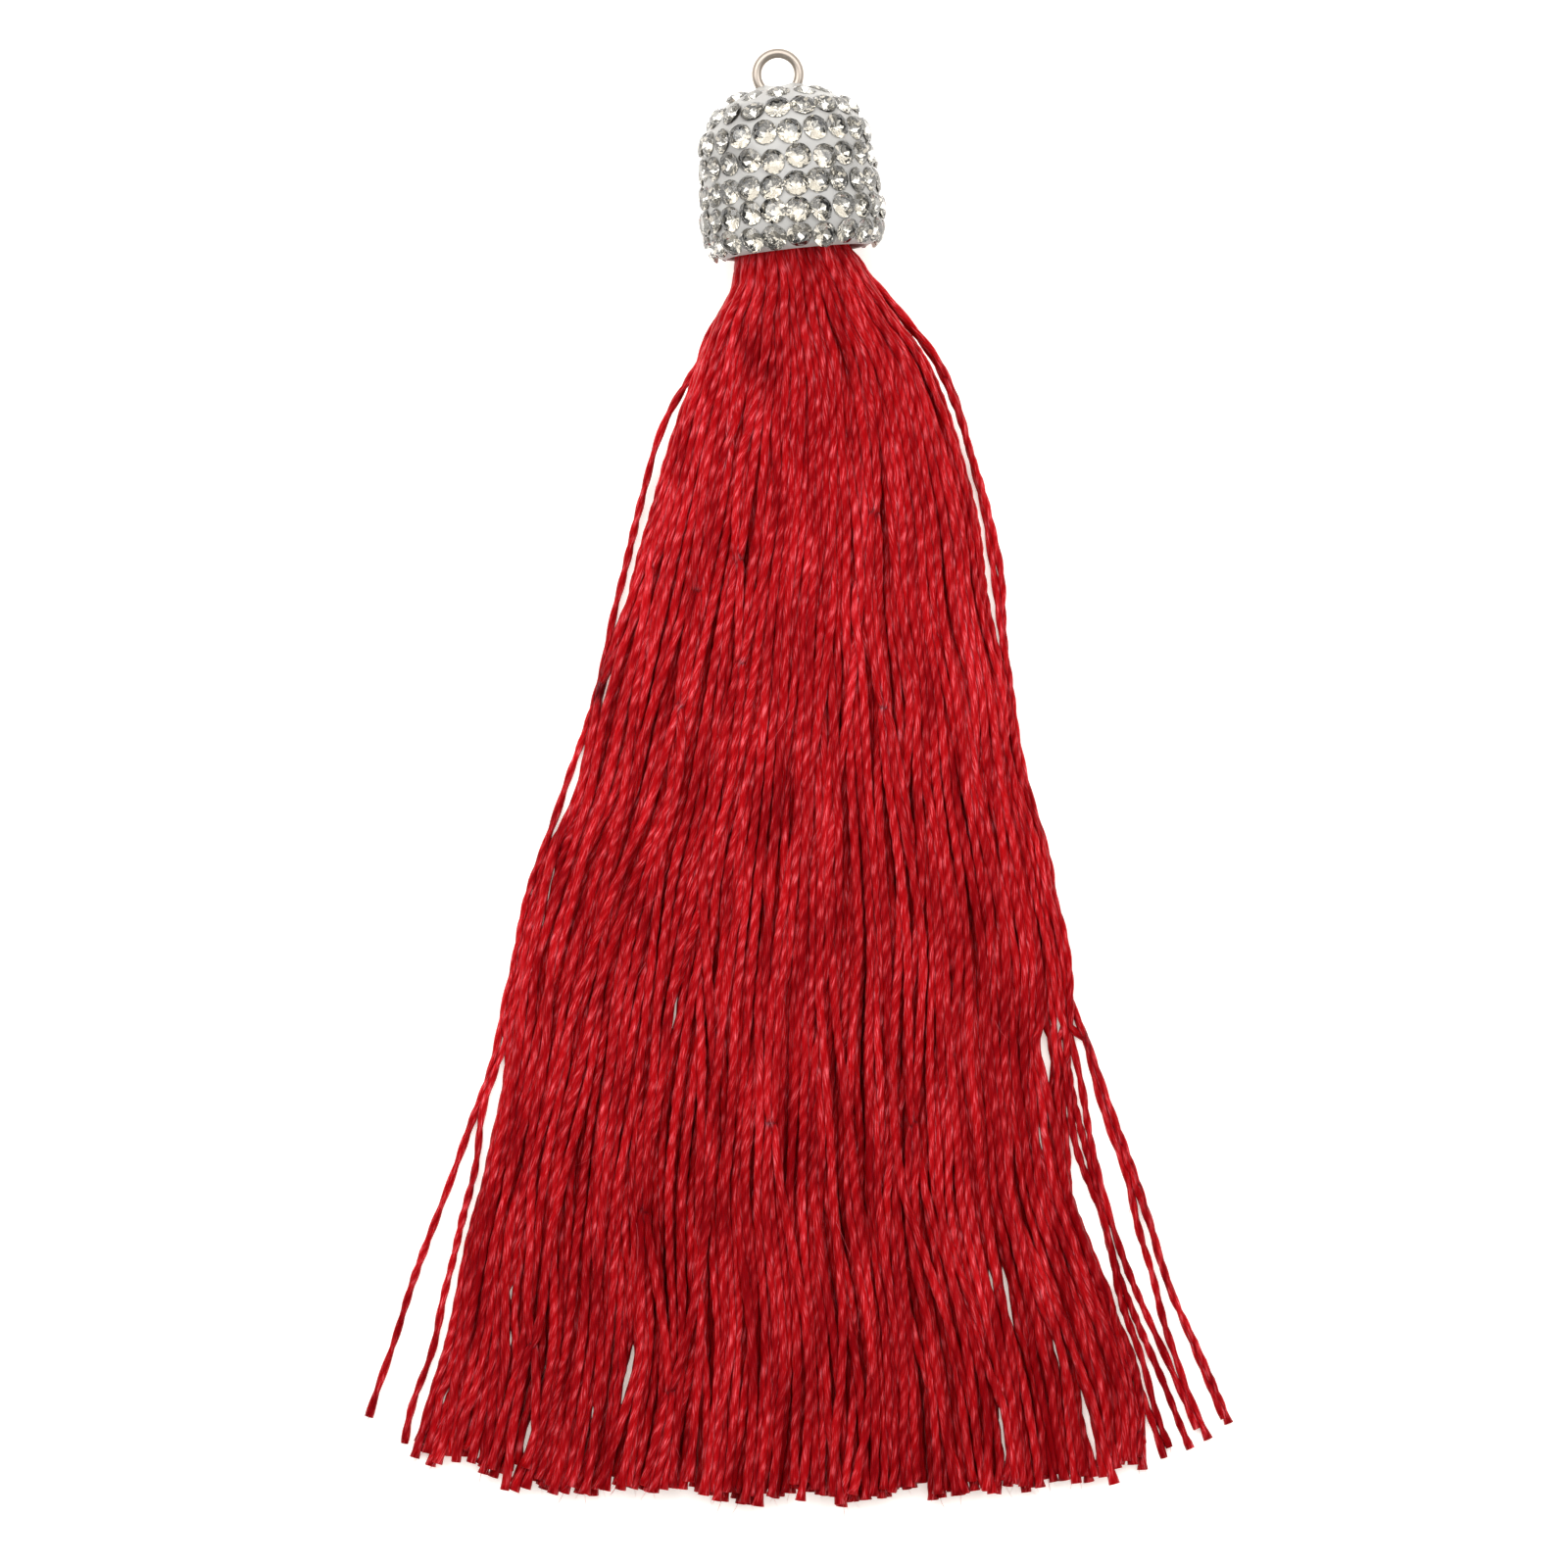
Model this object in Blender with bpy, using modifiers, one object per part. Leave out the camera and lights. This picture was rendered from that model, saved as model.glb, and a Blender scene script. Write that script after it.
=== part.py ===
"""Jeweled tassel: a fanned thread skirt under a clay cap paved with cut stones, and a ring in the cap's top.

It lies on its back. +Y runs from the cut ends to the ring, +Z is up, and z = 0 is the surface it lies on.
The origin is on that surface, in the middle of the flat spot under the cap. Sizes are millimetres in the
tables and constants, and metres in the scene.
"""

import math
import random
from collections import namedtuple

import bmesh
import bpy
import numpy as np
from mathutils import Matrix, Vector

MM = 0.001
CLEARANCE = 0.3  # between two pieces that touch on the real thing
OBJECT_NAME = "jeweled_tassel"

# The cap is turned about its own axis, which lies level and leans a little to the left at the ring.
AXIS_HEIGHT = 6.5
CAP_LEAN = math.radians(6)
APEX_ABOVE_ORIGIN = 8.6
DOME_DEPTH, DOME_RADIUS, DOME_FULLNESS = 5.2, 6.28, 2.2
BELLY_DEPTH, BELLY_RADIUS = 9.7, 6.68
RIM_DEPTH, RIM_RADIUS = 12.45, 5.5
MOUTH_RADIUS, MOUTH_DEPTH = 5.1, 2.5
TURNING_STEPS = 24

# Each row of stones: how far down the cap's axis its middles are, how many stones it has, and how many degrees
# it is turned from the front, to the right.
StoneRow = namedtuple("StoneRow", "depth stones turn")
STONE_ROWS = (
    StoneRow(0.6, 10, -2),
    StoneRow(2.0, 17, -4),
    StoneRow(3.85, 20, 4),
    StoneRow(5.85, 21, 8),
    StoneRow(7.75, 23, 3.5),
    StoneRow(9.75, 23, 3),
    StoneRow(11.6, 21, 3),
)
STONE_WIDTH = 1.76
STONE_STANDS = 0.26  # its table's height above the clay
GIRDLE_SUNK = 0.1  # its widest part lies just under the clay
CROWN_INSET = 0.34
STONE_SUNK = 0.4
STONE_SIDES = 6
STONE_WANDER = 0.04

RING_MIDDLE_RADIUS = 1.59
WIRE_RADIUS = 0.37
RING_ABOVE_APEX = 0.91

# The thread bundle's sections: how far below the origin each is, its two edges, how low and how high its
# threads lie, and the height of its edges. It is round at the head and a flat fan where it meets the surface.
Section = namedtuple("Section", "down left right low edge high")
SECTIONS = (
    Section(3.73, -4.4, 5.2, 1.7, 6.5, 11.3),
    Section(7.8, -5.7, 7.2, 1.1, 5.0, 10.0),
    Section(14.5, -8.1, 11.2, 0.1, 2.4, 6.4),
    Section(24.8, -11.2, 14.3, 0.0, 0.3, 4.5),
    Section(39.5, -15.4, 16.6, 0.0, 0.3, 3.4),
    Section(56.0, -20.2, 20.8, 0.0, 0.3, 2.8),
    Section(73.5, -23.6, 21.5, 0.0, 0.3, 2.6),
    Section(98.0, -29.1, 26.9, 0.0, 0.3, 2.2),
)
CUT_LOWEST, CUT_RISE, CUT_WANDER = 97.4, 3.9, 0.5
FAN_HALF_WIDTH = 30.0

# Threads that have strayed from the fan's edges: where each crosses the last six sections, None where it
# lies in the fan, and how far down it is cut.
Stray = namedtuple("Stray", "at_14 at_25 at_40 at_56 at_74 at_98 cut")
LEFT_STRAYS = (
    Stray(-8.5, -12.1, -15.7, -20.8, -25.7, -33.6, 91.7),
    Stray(None, None, None, None, -24.7, -30.0, 93.7),
)
RIGHT_STRAYS = (
    Stray(12.4, 15.3, 17.2, 21.4, 25.9, 35.6, 91.9),
    Stray(11.8, 14.7, 16.6, 20.8, 25.2, 34.8, 92.2),
    Stray(None, None, None, None, 24.5, 33.9, 93.4),
    Stray(None, None, None, None, 23.3, 33.0, 92.6),
    Stray(None, None, None, None, 22.7, 31.9, 94.1),
    Stray(None, None, None, None, 22.1, 30.8, 94.0),
    Stray(None, None, None, None, None, 29.7, 94.8),
    Stray(None, None, None, None, None, 28.7, 93.7),
    Stray(None, None, None, None, None, 27.7, 94.6),
)

THREADS = 220
THREAD_WIDTH = 0.57
STRAND_WIDTH, STRAND_THICKNESS = 0.47, 0.42  # the thread drawn with three sides
HEAD_LENGTH = 2.1
HEAD_SIDES = 24
ROOT_SUNK = 0.25
ROOTS_ACROSS = 0.4  # how far right of the origin the middle of the roots lies
SETTLING_PASSES = 400
EASING = 0.12  # how much of each push a pass applies
PAIRS_KEPT = 10  # how many passes use one list of near threads
LEVELS = np.arange(0, len(SECTIONS) - 1 + 0.01, 0.2)  # the sections, and four places between each two
NEAR = 2 * THREAD_WIDTH
TOUCH = 0.0005  # keeps two threads in one place from having no way apart


def clear_scene():
    for old in list(bpy.data.objects):
        bpy.data.objects.remove(old)


def new_collection(name):
    collection = bpy.data.collections.new(name)
    bpy.context.scene.collection.children.link(collection)
    return collection


def new_material(name, colour, roughness, metallic=0.0):
    material = bpy.data.materials.new(name)
    material.use_nodes = True
    shader = material.node_tree.nodes["Principled BSDF"]
    shader.inputs["Base Color"].default_value = (*colour, 1)
    shader.inputs["Roughness"].default_value = roughness
    shader.inputs["Metallic"].default_value = metallic
    return material


def mesh_object(name, mesh_data, collection, material=None):
    piece = bpy.data.objects.new(name, mesh_data)
    collection.objects.link(piece)
    if material:
        mesh_data.materials.append(material)
    return piece


def as_cutter(piece):
    piece.hide_render = True
    piece.display_type = "WIRE"


def combine(piece, other, operation):
    """Adds or takes away another object with a boolean modifier, which stays on the piece."""
    boolean = piece.modifiers.new(operation.lower() + "_" + other.name, "BOOLEAN")
    boolean.operation = operation
    boolean.object = other
    boolean.solver = "EXACT"


def cap_place():
    """The cap's own frame in the scene: its Z runs up its axis to the ring, from the origin's height."""
    turned = Matrix.Rotation(CAP_LEAN, 4, "Z") @ Matrix.Rotation(math.radians(-90), 4, "X")
    return Matrix.Translation((0, 0, AXIS_HEIGHT * MM)) @ turned


def cap_radius(depth):
    """The clay's radius at a depth below the dome's top: a full dome, a slight flare, and a drawn-in base."""
    if depth < DOME_DEPTH:
        rise = 1 - depth / DOME_DEPTH
        return DOME_RADIUS * (1 - rise**DOME_FULLNESS) ** (1 / DOME_FULLNESS)
    if depth < BELLY_DEPTH:
        share = (depth - DOME_DEPTH) / (BELLY_DEPTH - DOME_DEPTH)
        return DOME_RADIUS + share * (BELLY_RADIUS - DOME_RADIUS)
    share = (depth - BELLY_DEPTH) / (RIM_DEPTH - BELLY_DEPTH)
    return RIM_RADIUS + (BELLY_RADIUS - RIM_RADIUS) * math.sqrt(max(1 - share**2, 0))


def cap_outline():
    """(radius, depth) down the outside, round the rim and up into the mouth."""
    depths = [0, 0.12, 0.45, 1.1, 2.1, 3.5, DOME_DEPTH, 7.5, BELLY_DEPTH, 11.2, 12.0, RIM_DEPTH]
    outline = [(cap_radius(depth), depth) for depth in depths]
    mouth_top = RIM_DEPTH - MOUTH_DEPTH
    return outline + [(MOUTH_RADIUS, RIM_DEPTH), (MOUTH_RADIUS, mouth_top), (0, mouth_top)]


def turned_clay(collection, material):
    outline = bmesh.new()
    points = [
        outline.verts.new((radius * MM, 0, (APEX_ABOVE_ORIGIN - depth) * MM))
        for radius, depth in cap_outline()
    ]
    for above, below in zip(points, points[1:]):
        outline.edges.new((above, below))
    mesh_data = bpy.data.meshes.new("stone_cap")
    outline.to_mesh(mesh_data)
    outline.free()
    clay = mesh_object("stone_cap", mesh_data, collection, material)
    clay.matrix_world = cap_place()
    screw = clay.modifiers.new("turned", "SCREW")
    screw.axis = "Z"
    screw.steps = TURNING_STEPS
    screw.render_steps = TURNING_STEPS
    screw.use_merge_vertices = True
    screw.merge_threshold = 0.00001
    return clay


def stone_places(rng):
    """Each stone's middle on the clay and its way out, in the cap's own frame."""
    for row in STONE_ROWS:
        slope = (cap_radius(row.depth + 0.05) - cap_radius(row.depth - 0.05)) / 0.1
        outward = Vector((1, 0, slope)).normalized()
        for stone in range(row.stones):
            angle = math.radians(row.turn) + math.tau * (stone / row.stones - 0.25)
            angle += rng.uniform(-1, 1) * STONE_WANDER / cap_radius(row.depth)
            depth = row.depth + rng.uniform(-1, 1) * STONE_WANDER
            round_axis = Matrix.Rotation(angle, 4, "Z")
            middle = Vector((cap_radius(row.depth), 0, APEX_ABOVE_ORIGIN - depth)) * MM
            yield round_axis @ middle, (round_axis @ outward).normalized()


def stone_mesh():
    """One stone standing on z = 0, the clay's surface: a sunk foot, and a crown cut in to its table."""
    stone = bmesh.new()
    foot = STONE_SUNK - GIRDLE_SUNK
    bmesh.ops.create_cone(
        stone,
        cap_ends=True,
        segments=STONE_SIDES,
        radius1=STONE_WIDTH / 2 * MM,
        radius2=STONE_WIDTH / 2 * MM,
        depth=foot * MM,
        matrix=Matrix.Translation((0, 0, -(GIRDLE_SUNK + foot / 2) * MM)),
    )
    crown = (STONE_STANDS + GIRDLE_SUNK) * MM
    top = max(stone.faces, key=lambda face: face.calc_center_median().z)
    bmesh.ops.inset_individual(stone, faces=[top], thickness=CROWN_INSET * MM, depth=crown)
    mesh_data = bpy.data.meshes.new("stone")
    stone.to_mesh(mesh_data)
    stone.free()
    return mesh_data


def raised_stones(collection):
    """All the stones in one object, to be joined to the clay."""
    one_stone = stone_mesh()
    stones = bmesh.new()
    for middle, outward in stone_places(random.Random(5)):
        already = len(stones.verts)
        stones.from_mesh(one_stone)
        place = Matrix.Translation(middle) @ outward.to_track_quat("Z", "Y").to_matrix().to_4x4()
        bmesh.ops.transform(stones, matrix=place, verts=stones.verts[already:])
    mesh_data = bpy.data.meshes.new("stones")
    stones.to_mesh(mesh_data)
    stones.free()
    piece = mesh_object("stones", mesh_data, collection)
    piece.matrix_world = cap_place()
    as_cutter(piece)
    return piece


def ring_place():
    """The ring lies level, its middle a little above the dome's top on the cap's axis."""
    return cap_place() @ Matrix.Translation((0, 0, (APEX_ABOVE_ORIGIN + RING_ABOVE_APEX) * MM)) @ (
        Matrix.Rotation(math.radians(90), 4, "X")
    )


def wire_torus(name, wire_radius, around, across, collection, material=None):
    bpy.ops.mesh.primitive_torus_add(
        major_segments=around,
        minor_segments=across,
        major_radius=RING_MIDDLE_RADIUS * MM,
        minor_radius=wire_radius * MM,
    )
    torus = bpy.context.object
    torus.name = name
    for old in list(torus.users_collection):
        old.objects.unlink(torus)
    collection.objects.link(torus)
    torus.matrix_world = ring_place()
    torus.data.shade_smooth()
    if material:
        torus.data.materials.append(material)
    return torus


def floor_cutter(collection):
    """Takes off what lies under the surface, which leaves the cap's small flat spot."""
    box = bmesh.new()
    bmesh.ops.create_cube(box, size=30 * MM, matrix=Matrix.Translation((0, 0, -15 * MM)))
    mesh_data = bpy.data.meshes.new("under_surface")
    box.to_mesh(mesh_data)
    box.free()
    cutter = mesh_object("under_surface", mesh_data, collection)
    as_cutter(cutter)
    return cutter


def make_cap(parts, cutters):
    material = new_material("polymer clay with glass stones", (0.62, 0.6, 0.55), 0.3)
    cap = turned_clay(parts, material)
    combine(cap, raised_stones(cutters), "UNION")
    groove = wire_torus("ring_groove", WIRE_RADIUS + CLEARANCE, 30, 10, cutters)
    as_cutter(groove)
    combine(cap, groove, "DIFFERENCE")
    combine(cap, floor_cutter(cutters), "DIFFERENCE")
    return cap


def make_ring(parts):
    material = new_material("nickel-plated round wire", (0.72, 0.68, 0.63), 0.2, 1.0)
    return wire_torus("jump_ring", WIRE_RADIUS, 30, 10, parts, material)


def sunflower(count):
    """Places spread evenly over a disc of radius 1, as a sunflower's seeds are."""
    seed = np.arange(count) + 0.5
    radius = np.sqrt(seed / count)
    angle = seed * math.pi * (3 - math.sqrt(5))
    return radius * np.cos(angle), radius * np.sin(angle)


def room(section, across):
    """The lowest and the highest that a thread's middle may lie at each place across a section."""
    radius = THREAD_WIDTH / 2
    swell = np.sqrt(1 - across**2)
    highest = section.edge + swell * (section.high - section.edge - radius)
    if section.low > 0:
        return section.edge - swell * (section.edge - section.low - radius), highest
    return np.full_like(highest, radius), np.maximum(highest, radius)


def first_guess(across, up, strays):
    """Each thread's place in each section, if the round head were pressed evenly into each outline."""
    places = np.empty((len(SECTIONS), len(across), 2))
    share = (up / np.sqrt(1 - across**2) + 1) / 2
    for row, section in enumerate(SECTIONS):
        in_fan = across[np.isnan(strays[row])]
        spread = np.interp(across, (in_fan.min(), in_fan.max()), (-1, 1))
        lowest, highest = room(section, spread)
        half = (section.right - section.left - THREAD_WIDTH) / 2
        places[row, :, 0] = (section.left + section.right) / 2 + spread * half
        places[row, :, 1] = lowest + share * (highest - lowest)
    return places


def keep_inside(places, strays):
    """Holds every thread inside its section's outline, above the surface, and each stray on its own line."""
    for row, section in enumerate(SECTIONS):
        middle = (section.left + section.right) / 2
        half = (section.right - section.left - THREAD_WIDTH) / 2
        across = (places[row, :, 0] - middle) / half
        if section.low > 0:
            lowest, highest = room(section, np.zeros_like(across))
            rise = places[row, :, 1] - section.edge
            tall = np.where(rise > 0, highest - section.edge, section.edge - lowest)
            outside = np.maximum(np.hypot(across, rise / tall), 1)
            across /= outside
            places[row, :, 1] = section.edge + rise / outside
        else:
            across = np.clip(across, -1, 1)
            places[row, :, 1] = np.clip(places[row, :, 1], *room(section, across))
        places[row, :, 0] = middle + across * half
        held = ~np.isnan(strays[row])
        places[row, held, 0] = strays[row, held]


def near_pairs(here):
    """The level and the two threads of each pair that lies near each other."""
    apart = here[:, :, None] - here[:, None]
    return np.nonzero(np.triu(np.square(apart).sum(axis=-1) < NEAR**2, 1))


def settle(places, strays):
    """Moves threads apart wherever two come closer than a thread's width, at the sections and between."""
    noise = np.random.default_rng(3)
    above = np.minimum(LEVELS.astype(int), len(SECTIONS) - 2)
    share = (LEVELS - above)[:, None, None]
    for step in range(SETTLING_PASSES):
        here = places[above] * (1 - share) + places[above + 1] * share
        if step % PAIRS_KEPT == 0:
            level, one, other = near_pairs(here)
        apart = here[level, one] - here[level, other]
        apart += noise.uniform(-TOUCH, TOUCH, apart.shape)
        distance = np.linalg.norm(apart, axis=1)
        push = apart * (np.clip(THREAD_WIDTH - distance, 0, None) / distance)[:, None]
        moved = np.zeros_like(here)
        np.add.at(moved, (level, one), push)
        np.add.at(moved, (level, other), -push)
        move = np.zeros_like(places)
        np.add.at(move, above, moved * (1 - share))
        np.add.at(move, above + 1, moved * share)
        places += EASING * move
        keep_inside(places, strays)
    return places


def thread_places():
    """(threads, sections, 3): where each thread crosses each section, the last one its cut end."""
    across, up = sunflower(THREADS)
    order = np.argsort(across)
    strays = np.full((len(SECTIONS), THREADS), math.nan)
    rng = random.Random(11)
    wander = np.array([rng.uniform(-1, 1) for _ in range(THREADS)]) * CUT_WANDER
    ends = [(order[place], stray) for place, stray in enumerate(LEFT_STRAYS)]
    ends += [(order[-1 - place], stray) for place, stray in enumerate(RIGHT_STRAYS)]
    for thread, stray in ends:
        strays[2:, thread] = [math.nan if at is None else at for at in stray[:-1]]
    flat = settle(first_guess(across, up, strays), strays)
    down = np.repeat([[section.down] for section in SECTIONS], THREADS, axis=1)
    down[0] -= (flat[0, :, 0] - ROOTS_ACROSS) * math.tan(CAP_LEAN)
    places = np.stack([flat[..., 0], -down, flat[..., 1]], axis=-1)
    cut = CUT_LOWEST - CUT_RISE * (flat[-1, :, 0] / FAN_HALF_WIDTH) ** 2 + wander
    for thread, stray in ends:
        cut[thread] = stray.cut
    left_on = (cut - down[-2]) / (down[-1] - down[-2])
    places[-1] = places[-2] + (places[-1] - places[-2]) * left_on[:, None]
    return places.transpose(1, 0, 2)


def strand_outline(collection):
    """The three-sided outline swept along each thread, its flat base where the round thread's bottom is."""
    base = -THREAD_WIDTH / 2
    corners = [(-STRAND_WIDTH / 2, base), (STRAND_WIDTH / 2, base), (0, base + STRAND_THICKNESS)]
    curve = bpy.data.curves.new("strand_outline", "CURVE")
    spline = curve.splines.new("POLY")
    spline.points.add(len(corners) - 1)
    for point, (x, y) in zip(spline.points, corners):
        point.co = (x * MM, y * MM, 0, 1)
    spline.use_cyclic_u = True
    outline = bpy.data.objects.new("strand_outline", curve)
    collection.objects.link(outline)
    as_cutter(outline)
    return outline


def swept_strands(cutters):
    """All strands as one curve object, turned into a mesh with its caps welded."""
    curve = bpy.data.curves.new("strands", "CURVE")
    curve.dimensions = "3D"
    curve.twist_mode = "Z_UP"
    curve.bevel_mode = "OBJECT"
    curve.bevel_object = strand_outline(cutters)
    curve.use_fill_caps = True
    up_axis = cap_place().to_3x3() @ Vector((0, 0, 1))
    for places in thread_places():
        spline = curve.splines.new("POLY")
        spline.points.add(len(places) - 1)
        for number, (point, place) in enumerate(zip(spline.points, places)):
            here = Vector(place) * MM
            if number == 0:
                here += up_axis * ROOT_SUNK * MM
            point.co = (*here, 1)
    swept = bpy.data.objects.new("swept_strands", curve)
    cutters.objects.link(swept)
    bpy.context.view_layer.update()
    evaluated = swept.evaluated_get(bpy.context.evaluated_depsgraph_get())
    mesh_data = bpy.data.meshes.new_from_object(evaluated)
    welded = bmesh.new()
    welded.from_mesh(mesh_data)
    bmesh.ops.remove_doubles(welded, verts=welded.verts, dist=0.001 * MM)
    bmesh.ops.recalc_face_normals(welded, faces=welded.faces)
    welded.to_mesh(mesh_data)
    welded.free()
    strands = mesh_object("strands", mesh_data, cutters)
    strands.matrix_world = swept.matrix_world.copy()
    bpy.data.objects.remove(swept)
    as_cutter(strands)
    return strands


def make_skirt(parts, cutters):
    """The bound head inside the cap's mouth, with the strands joined to its lower face."""
    material = new_material("twisted rayon thread", (0.47, 0.012, 0.018), 0.45)
    head = bmesh.new()
    head_top = APEX_ABOVE_ORIGIN - RIM_DEPTH + MOUTH_DEPTH - CLEARANCE
    bmesh.ops.create_cone(
        head,
        cap_ends=True,
        segments=HEAD_SIDES,
        radius1=(MOUTH_RADIUS - CLEARANCE) * MM,
        radius2=(MOUTH_RADIUS - CLEARANCE) * MM,
        depth=HEAD_LENGTH * MM,
        matrix=Matrix.Translation((0, 0, (head_top - HEAD_LENGTH / 2) * MM)),
    )
    mesh_data = bpy.data.meshes.new("thread_skirt")
    head.to_mesh(mesh_data)
    head.free()
    skirt = mesh_object("thread_skirt", mesh_data, parts, material)
    skirt.matrix_world = cap_place()
    combine(skirt, swept_strands(cutters), "UNION")
    return skirt


def main():
    clear_scene()
    parts = new_collection(OBJECT_NAME)
    cutters = new_collection("cutters")
    make_ring(parts)
    make_cap(parts, cutters)
    make_skirt(parts, cutters)


main()
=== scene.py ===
"""The looks of the jeweled tassel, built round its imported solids.

It lies on its back: +Y runs from the cut ends to the ring, +Z is up, z = 0 is the surface it lies on, and the
origin is under the middle of the cap. Sizes are millimetres in the tables and constants, metres in the scene.
"""

import math
import random
from collections import namedtuple

import bmesh
import bpy
import numpy as np
from mathutils import Matrix, Vector


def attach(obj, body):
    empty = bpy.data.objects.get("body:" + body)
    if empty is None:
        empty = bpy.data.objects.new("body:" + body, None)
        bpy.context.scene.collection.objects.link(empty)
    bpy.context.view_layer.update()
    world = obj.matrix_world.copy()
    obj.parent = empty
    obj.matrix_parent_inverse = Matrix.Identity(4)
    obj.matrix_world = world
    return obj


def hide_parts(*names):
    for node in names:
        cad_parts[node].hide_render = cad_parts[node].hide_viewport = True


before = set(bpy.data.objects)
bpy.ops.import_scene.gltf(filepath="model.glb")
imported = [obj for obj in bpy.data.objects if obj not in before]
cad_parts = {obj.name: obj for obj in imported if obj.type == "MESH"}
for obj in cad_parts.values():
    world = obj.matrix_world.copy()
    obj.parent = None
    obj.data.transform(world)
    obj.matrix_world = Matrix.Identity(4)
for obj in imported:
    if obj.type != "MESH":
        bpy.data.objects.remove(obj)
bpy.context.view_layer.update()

MM = 0.001
BODY = "root"

# The photograph's frame: its scale, and the pixel under which the origin lies.
PHOTO_PX = 1600
MM_PER_PX = 0.0738
ORIGIN_PX_X, ORIGIN_PX_Y = 807.2, 203.9
LENS, SENSOR = 200, 36
TRUE_SCALE_HEIGHT = 4.0  # the height at which a millimetre is as many pixels as in the photo
AIM_PX_Y = 797  # the row of the photo that the camera stands over

# The cap, as the solids have it.
AXIS_HEIGHT = 6.5
CAP_LEAN = math.radians(6)
APEX_ABOVE_ORIGIN = 8.6
DOME_DEPTH, DOME_RADIUS, DOME_FULLNESS = 5.2, 6.28, 2.2
BELLY_DEPTH, BELLY_RADIUS = 9.7, 6.68
RIM_DEPTH, RIM_RADIUS = 12.45, 5.5
MOUTH_RADIUS, MOUTH_DEPTH = 5.1, 2.5
StoneRow = namedtuple("StoneRow", "depth stones turn")
STONE_ROWS = (
    StoneRow(0.6, 10, -2),
    StoneRow(2.0, 17, -4),
    StoneRow(3.85, 20, 4),
    StoneRow(5.85, 21, 8),
    StoneRow(7.75, 23, 3.5),
    StoneRow(9.75, 23, 3),
    StoneRow(11.6, 21, 3),
)
SEAT_WIDTH = 1.76  # the stones on the solids are this wide
STONE_WANDER, ROW_WANDER = 0.06, 0.13  # how far a stone sits off its even place, round the cap and down it

# The ring, its wire and the fineness of its mesh.
RING_MIDDLE_RADIUS = 1.59
WIRE_RADIUS = 0.37
RING_HEIGHT = APEX_ABOVE_ORIGIN + 0.91
RING_ROUND, WIRE_ROUND = 96, 24
WIRE_MARKS = 0.5  # the length of its marks of wear

# The thread bundle's sections, its stray threads and its cut, as the solids have them but for a few ends.
Section = namedtuple("Section", "down left right low edge high")
SECTIONS = (
    Section(3.73, -4.4, 5.2, 1.7, 6.5, 11.3),
    Section(7.8, -5.7, 7.2, 1.1, 5.0, 10.0),
    Section(14.5, -8.1, 11.2, 0.1, 2.4, 6.4),
    Section(24.8, -11.2, 14.3, 0.0, 0.3, 4.5),
    Section(39.5, -15.4, 16.6, 0.0, 0.3, 3.4),
    Section(56.0, -20.2, 20.8, 0.0, 0.3, 2.8),
    Section(73.5, -23.6, 21.5, 0.0, 0.3, 2.6),
    Section(98.0, -29.1, 26.9, 0.0, 0.3, 2.2),
)
CUT_LOWEST, CUT_RISE, CUT_WANDER = 97.4, 3.9, 0.5
CUT_CURVE = 3  # the cut line is flatter in the middle than in the solids
FAN_HALF_WIDTH = 30.0

# How far across each stray thread lies at six depths, None where it is still in the fan, and how far down its
# cut end is. The outermost comes first.
Stray = namedtuple("Stray", "at_14 at_25 at_40 at_56 at_74 at_98 cut")
LEFT_STRAYS = (
    Stray(-8.5, -12.1, -15.7, -20.8, -25.7, -33.6, 91.7),
    Stray(None, None, None, None, -24.7, -29.2, 93.7),
)
RIGHT_STRAYS = (
    Stray(12.4, 15.3, 17.2, 21.4, 25.9, 35.6, 91.8),
    Stray(11.8, 14.7, 16.6, 20.8, 25.2, 34.8, 92.2),
    Stray(None, None, None, None, 24.5, 33.9, 93.4),
    Stray(None, None, None, None, 23.3, 33.0, 92.6),
    Stray(None, None, None, None, 22.7, 31.9, 94.1),
    Stray(None, None, None, None, 22.1, 30.8, 94.0),
    Stray(None, None, None, None, None, 29.7, 94.8),
    Stray(None, None, None, None, None, 28.7, 93.7),
    Stray(None, None, None, None, None, 27.7, 94.6),
)
THREADS = 220
THREAD_WIDTH = 0.57
ROOTS_ACROSS = 0.4  # the middle of the roots lies this far to the right of the origin

# The settling, which moves threads apart until they lie side by side.
SETTLING_PASSES = 400
EASING = 0.12  # the share of a push that each pass makes
PAIRS_KEPT = 10  # passes between two searches for neighbours
LEVELS = np.arange(0, len(SECTIONS) - 1 + 0.01, 0.2)  # five to each stretch between two sections
NEAR = 2 * THREAD_WIDTH
JOG = 0.0005  # keeps two threads from lying on exactly the same place

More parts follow.
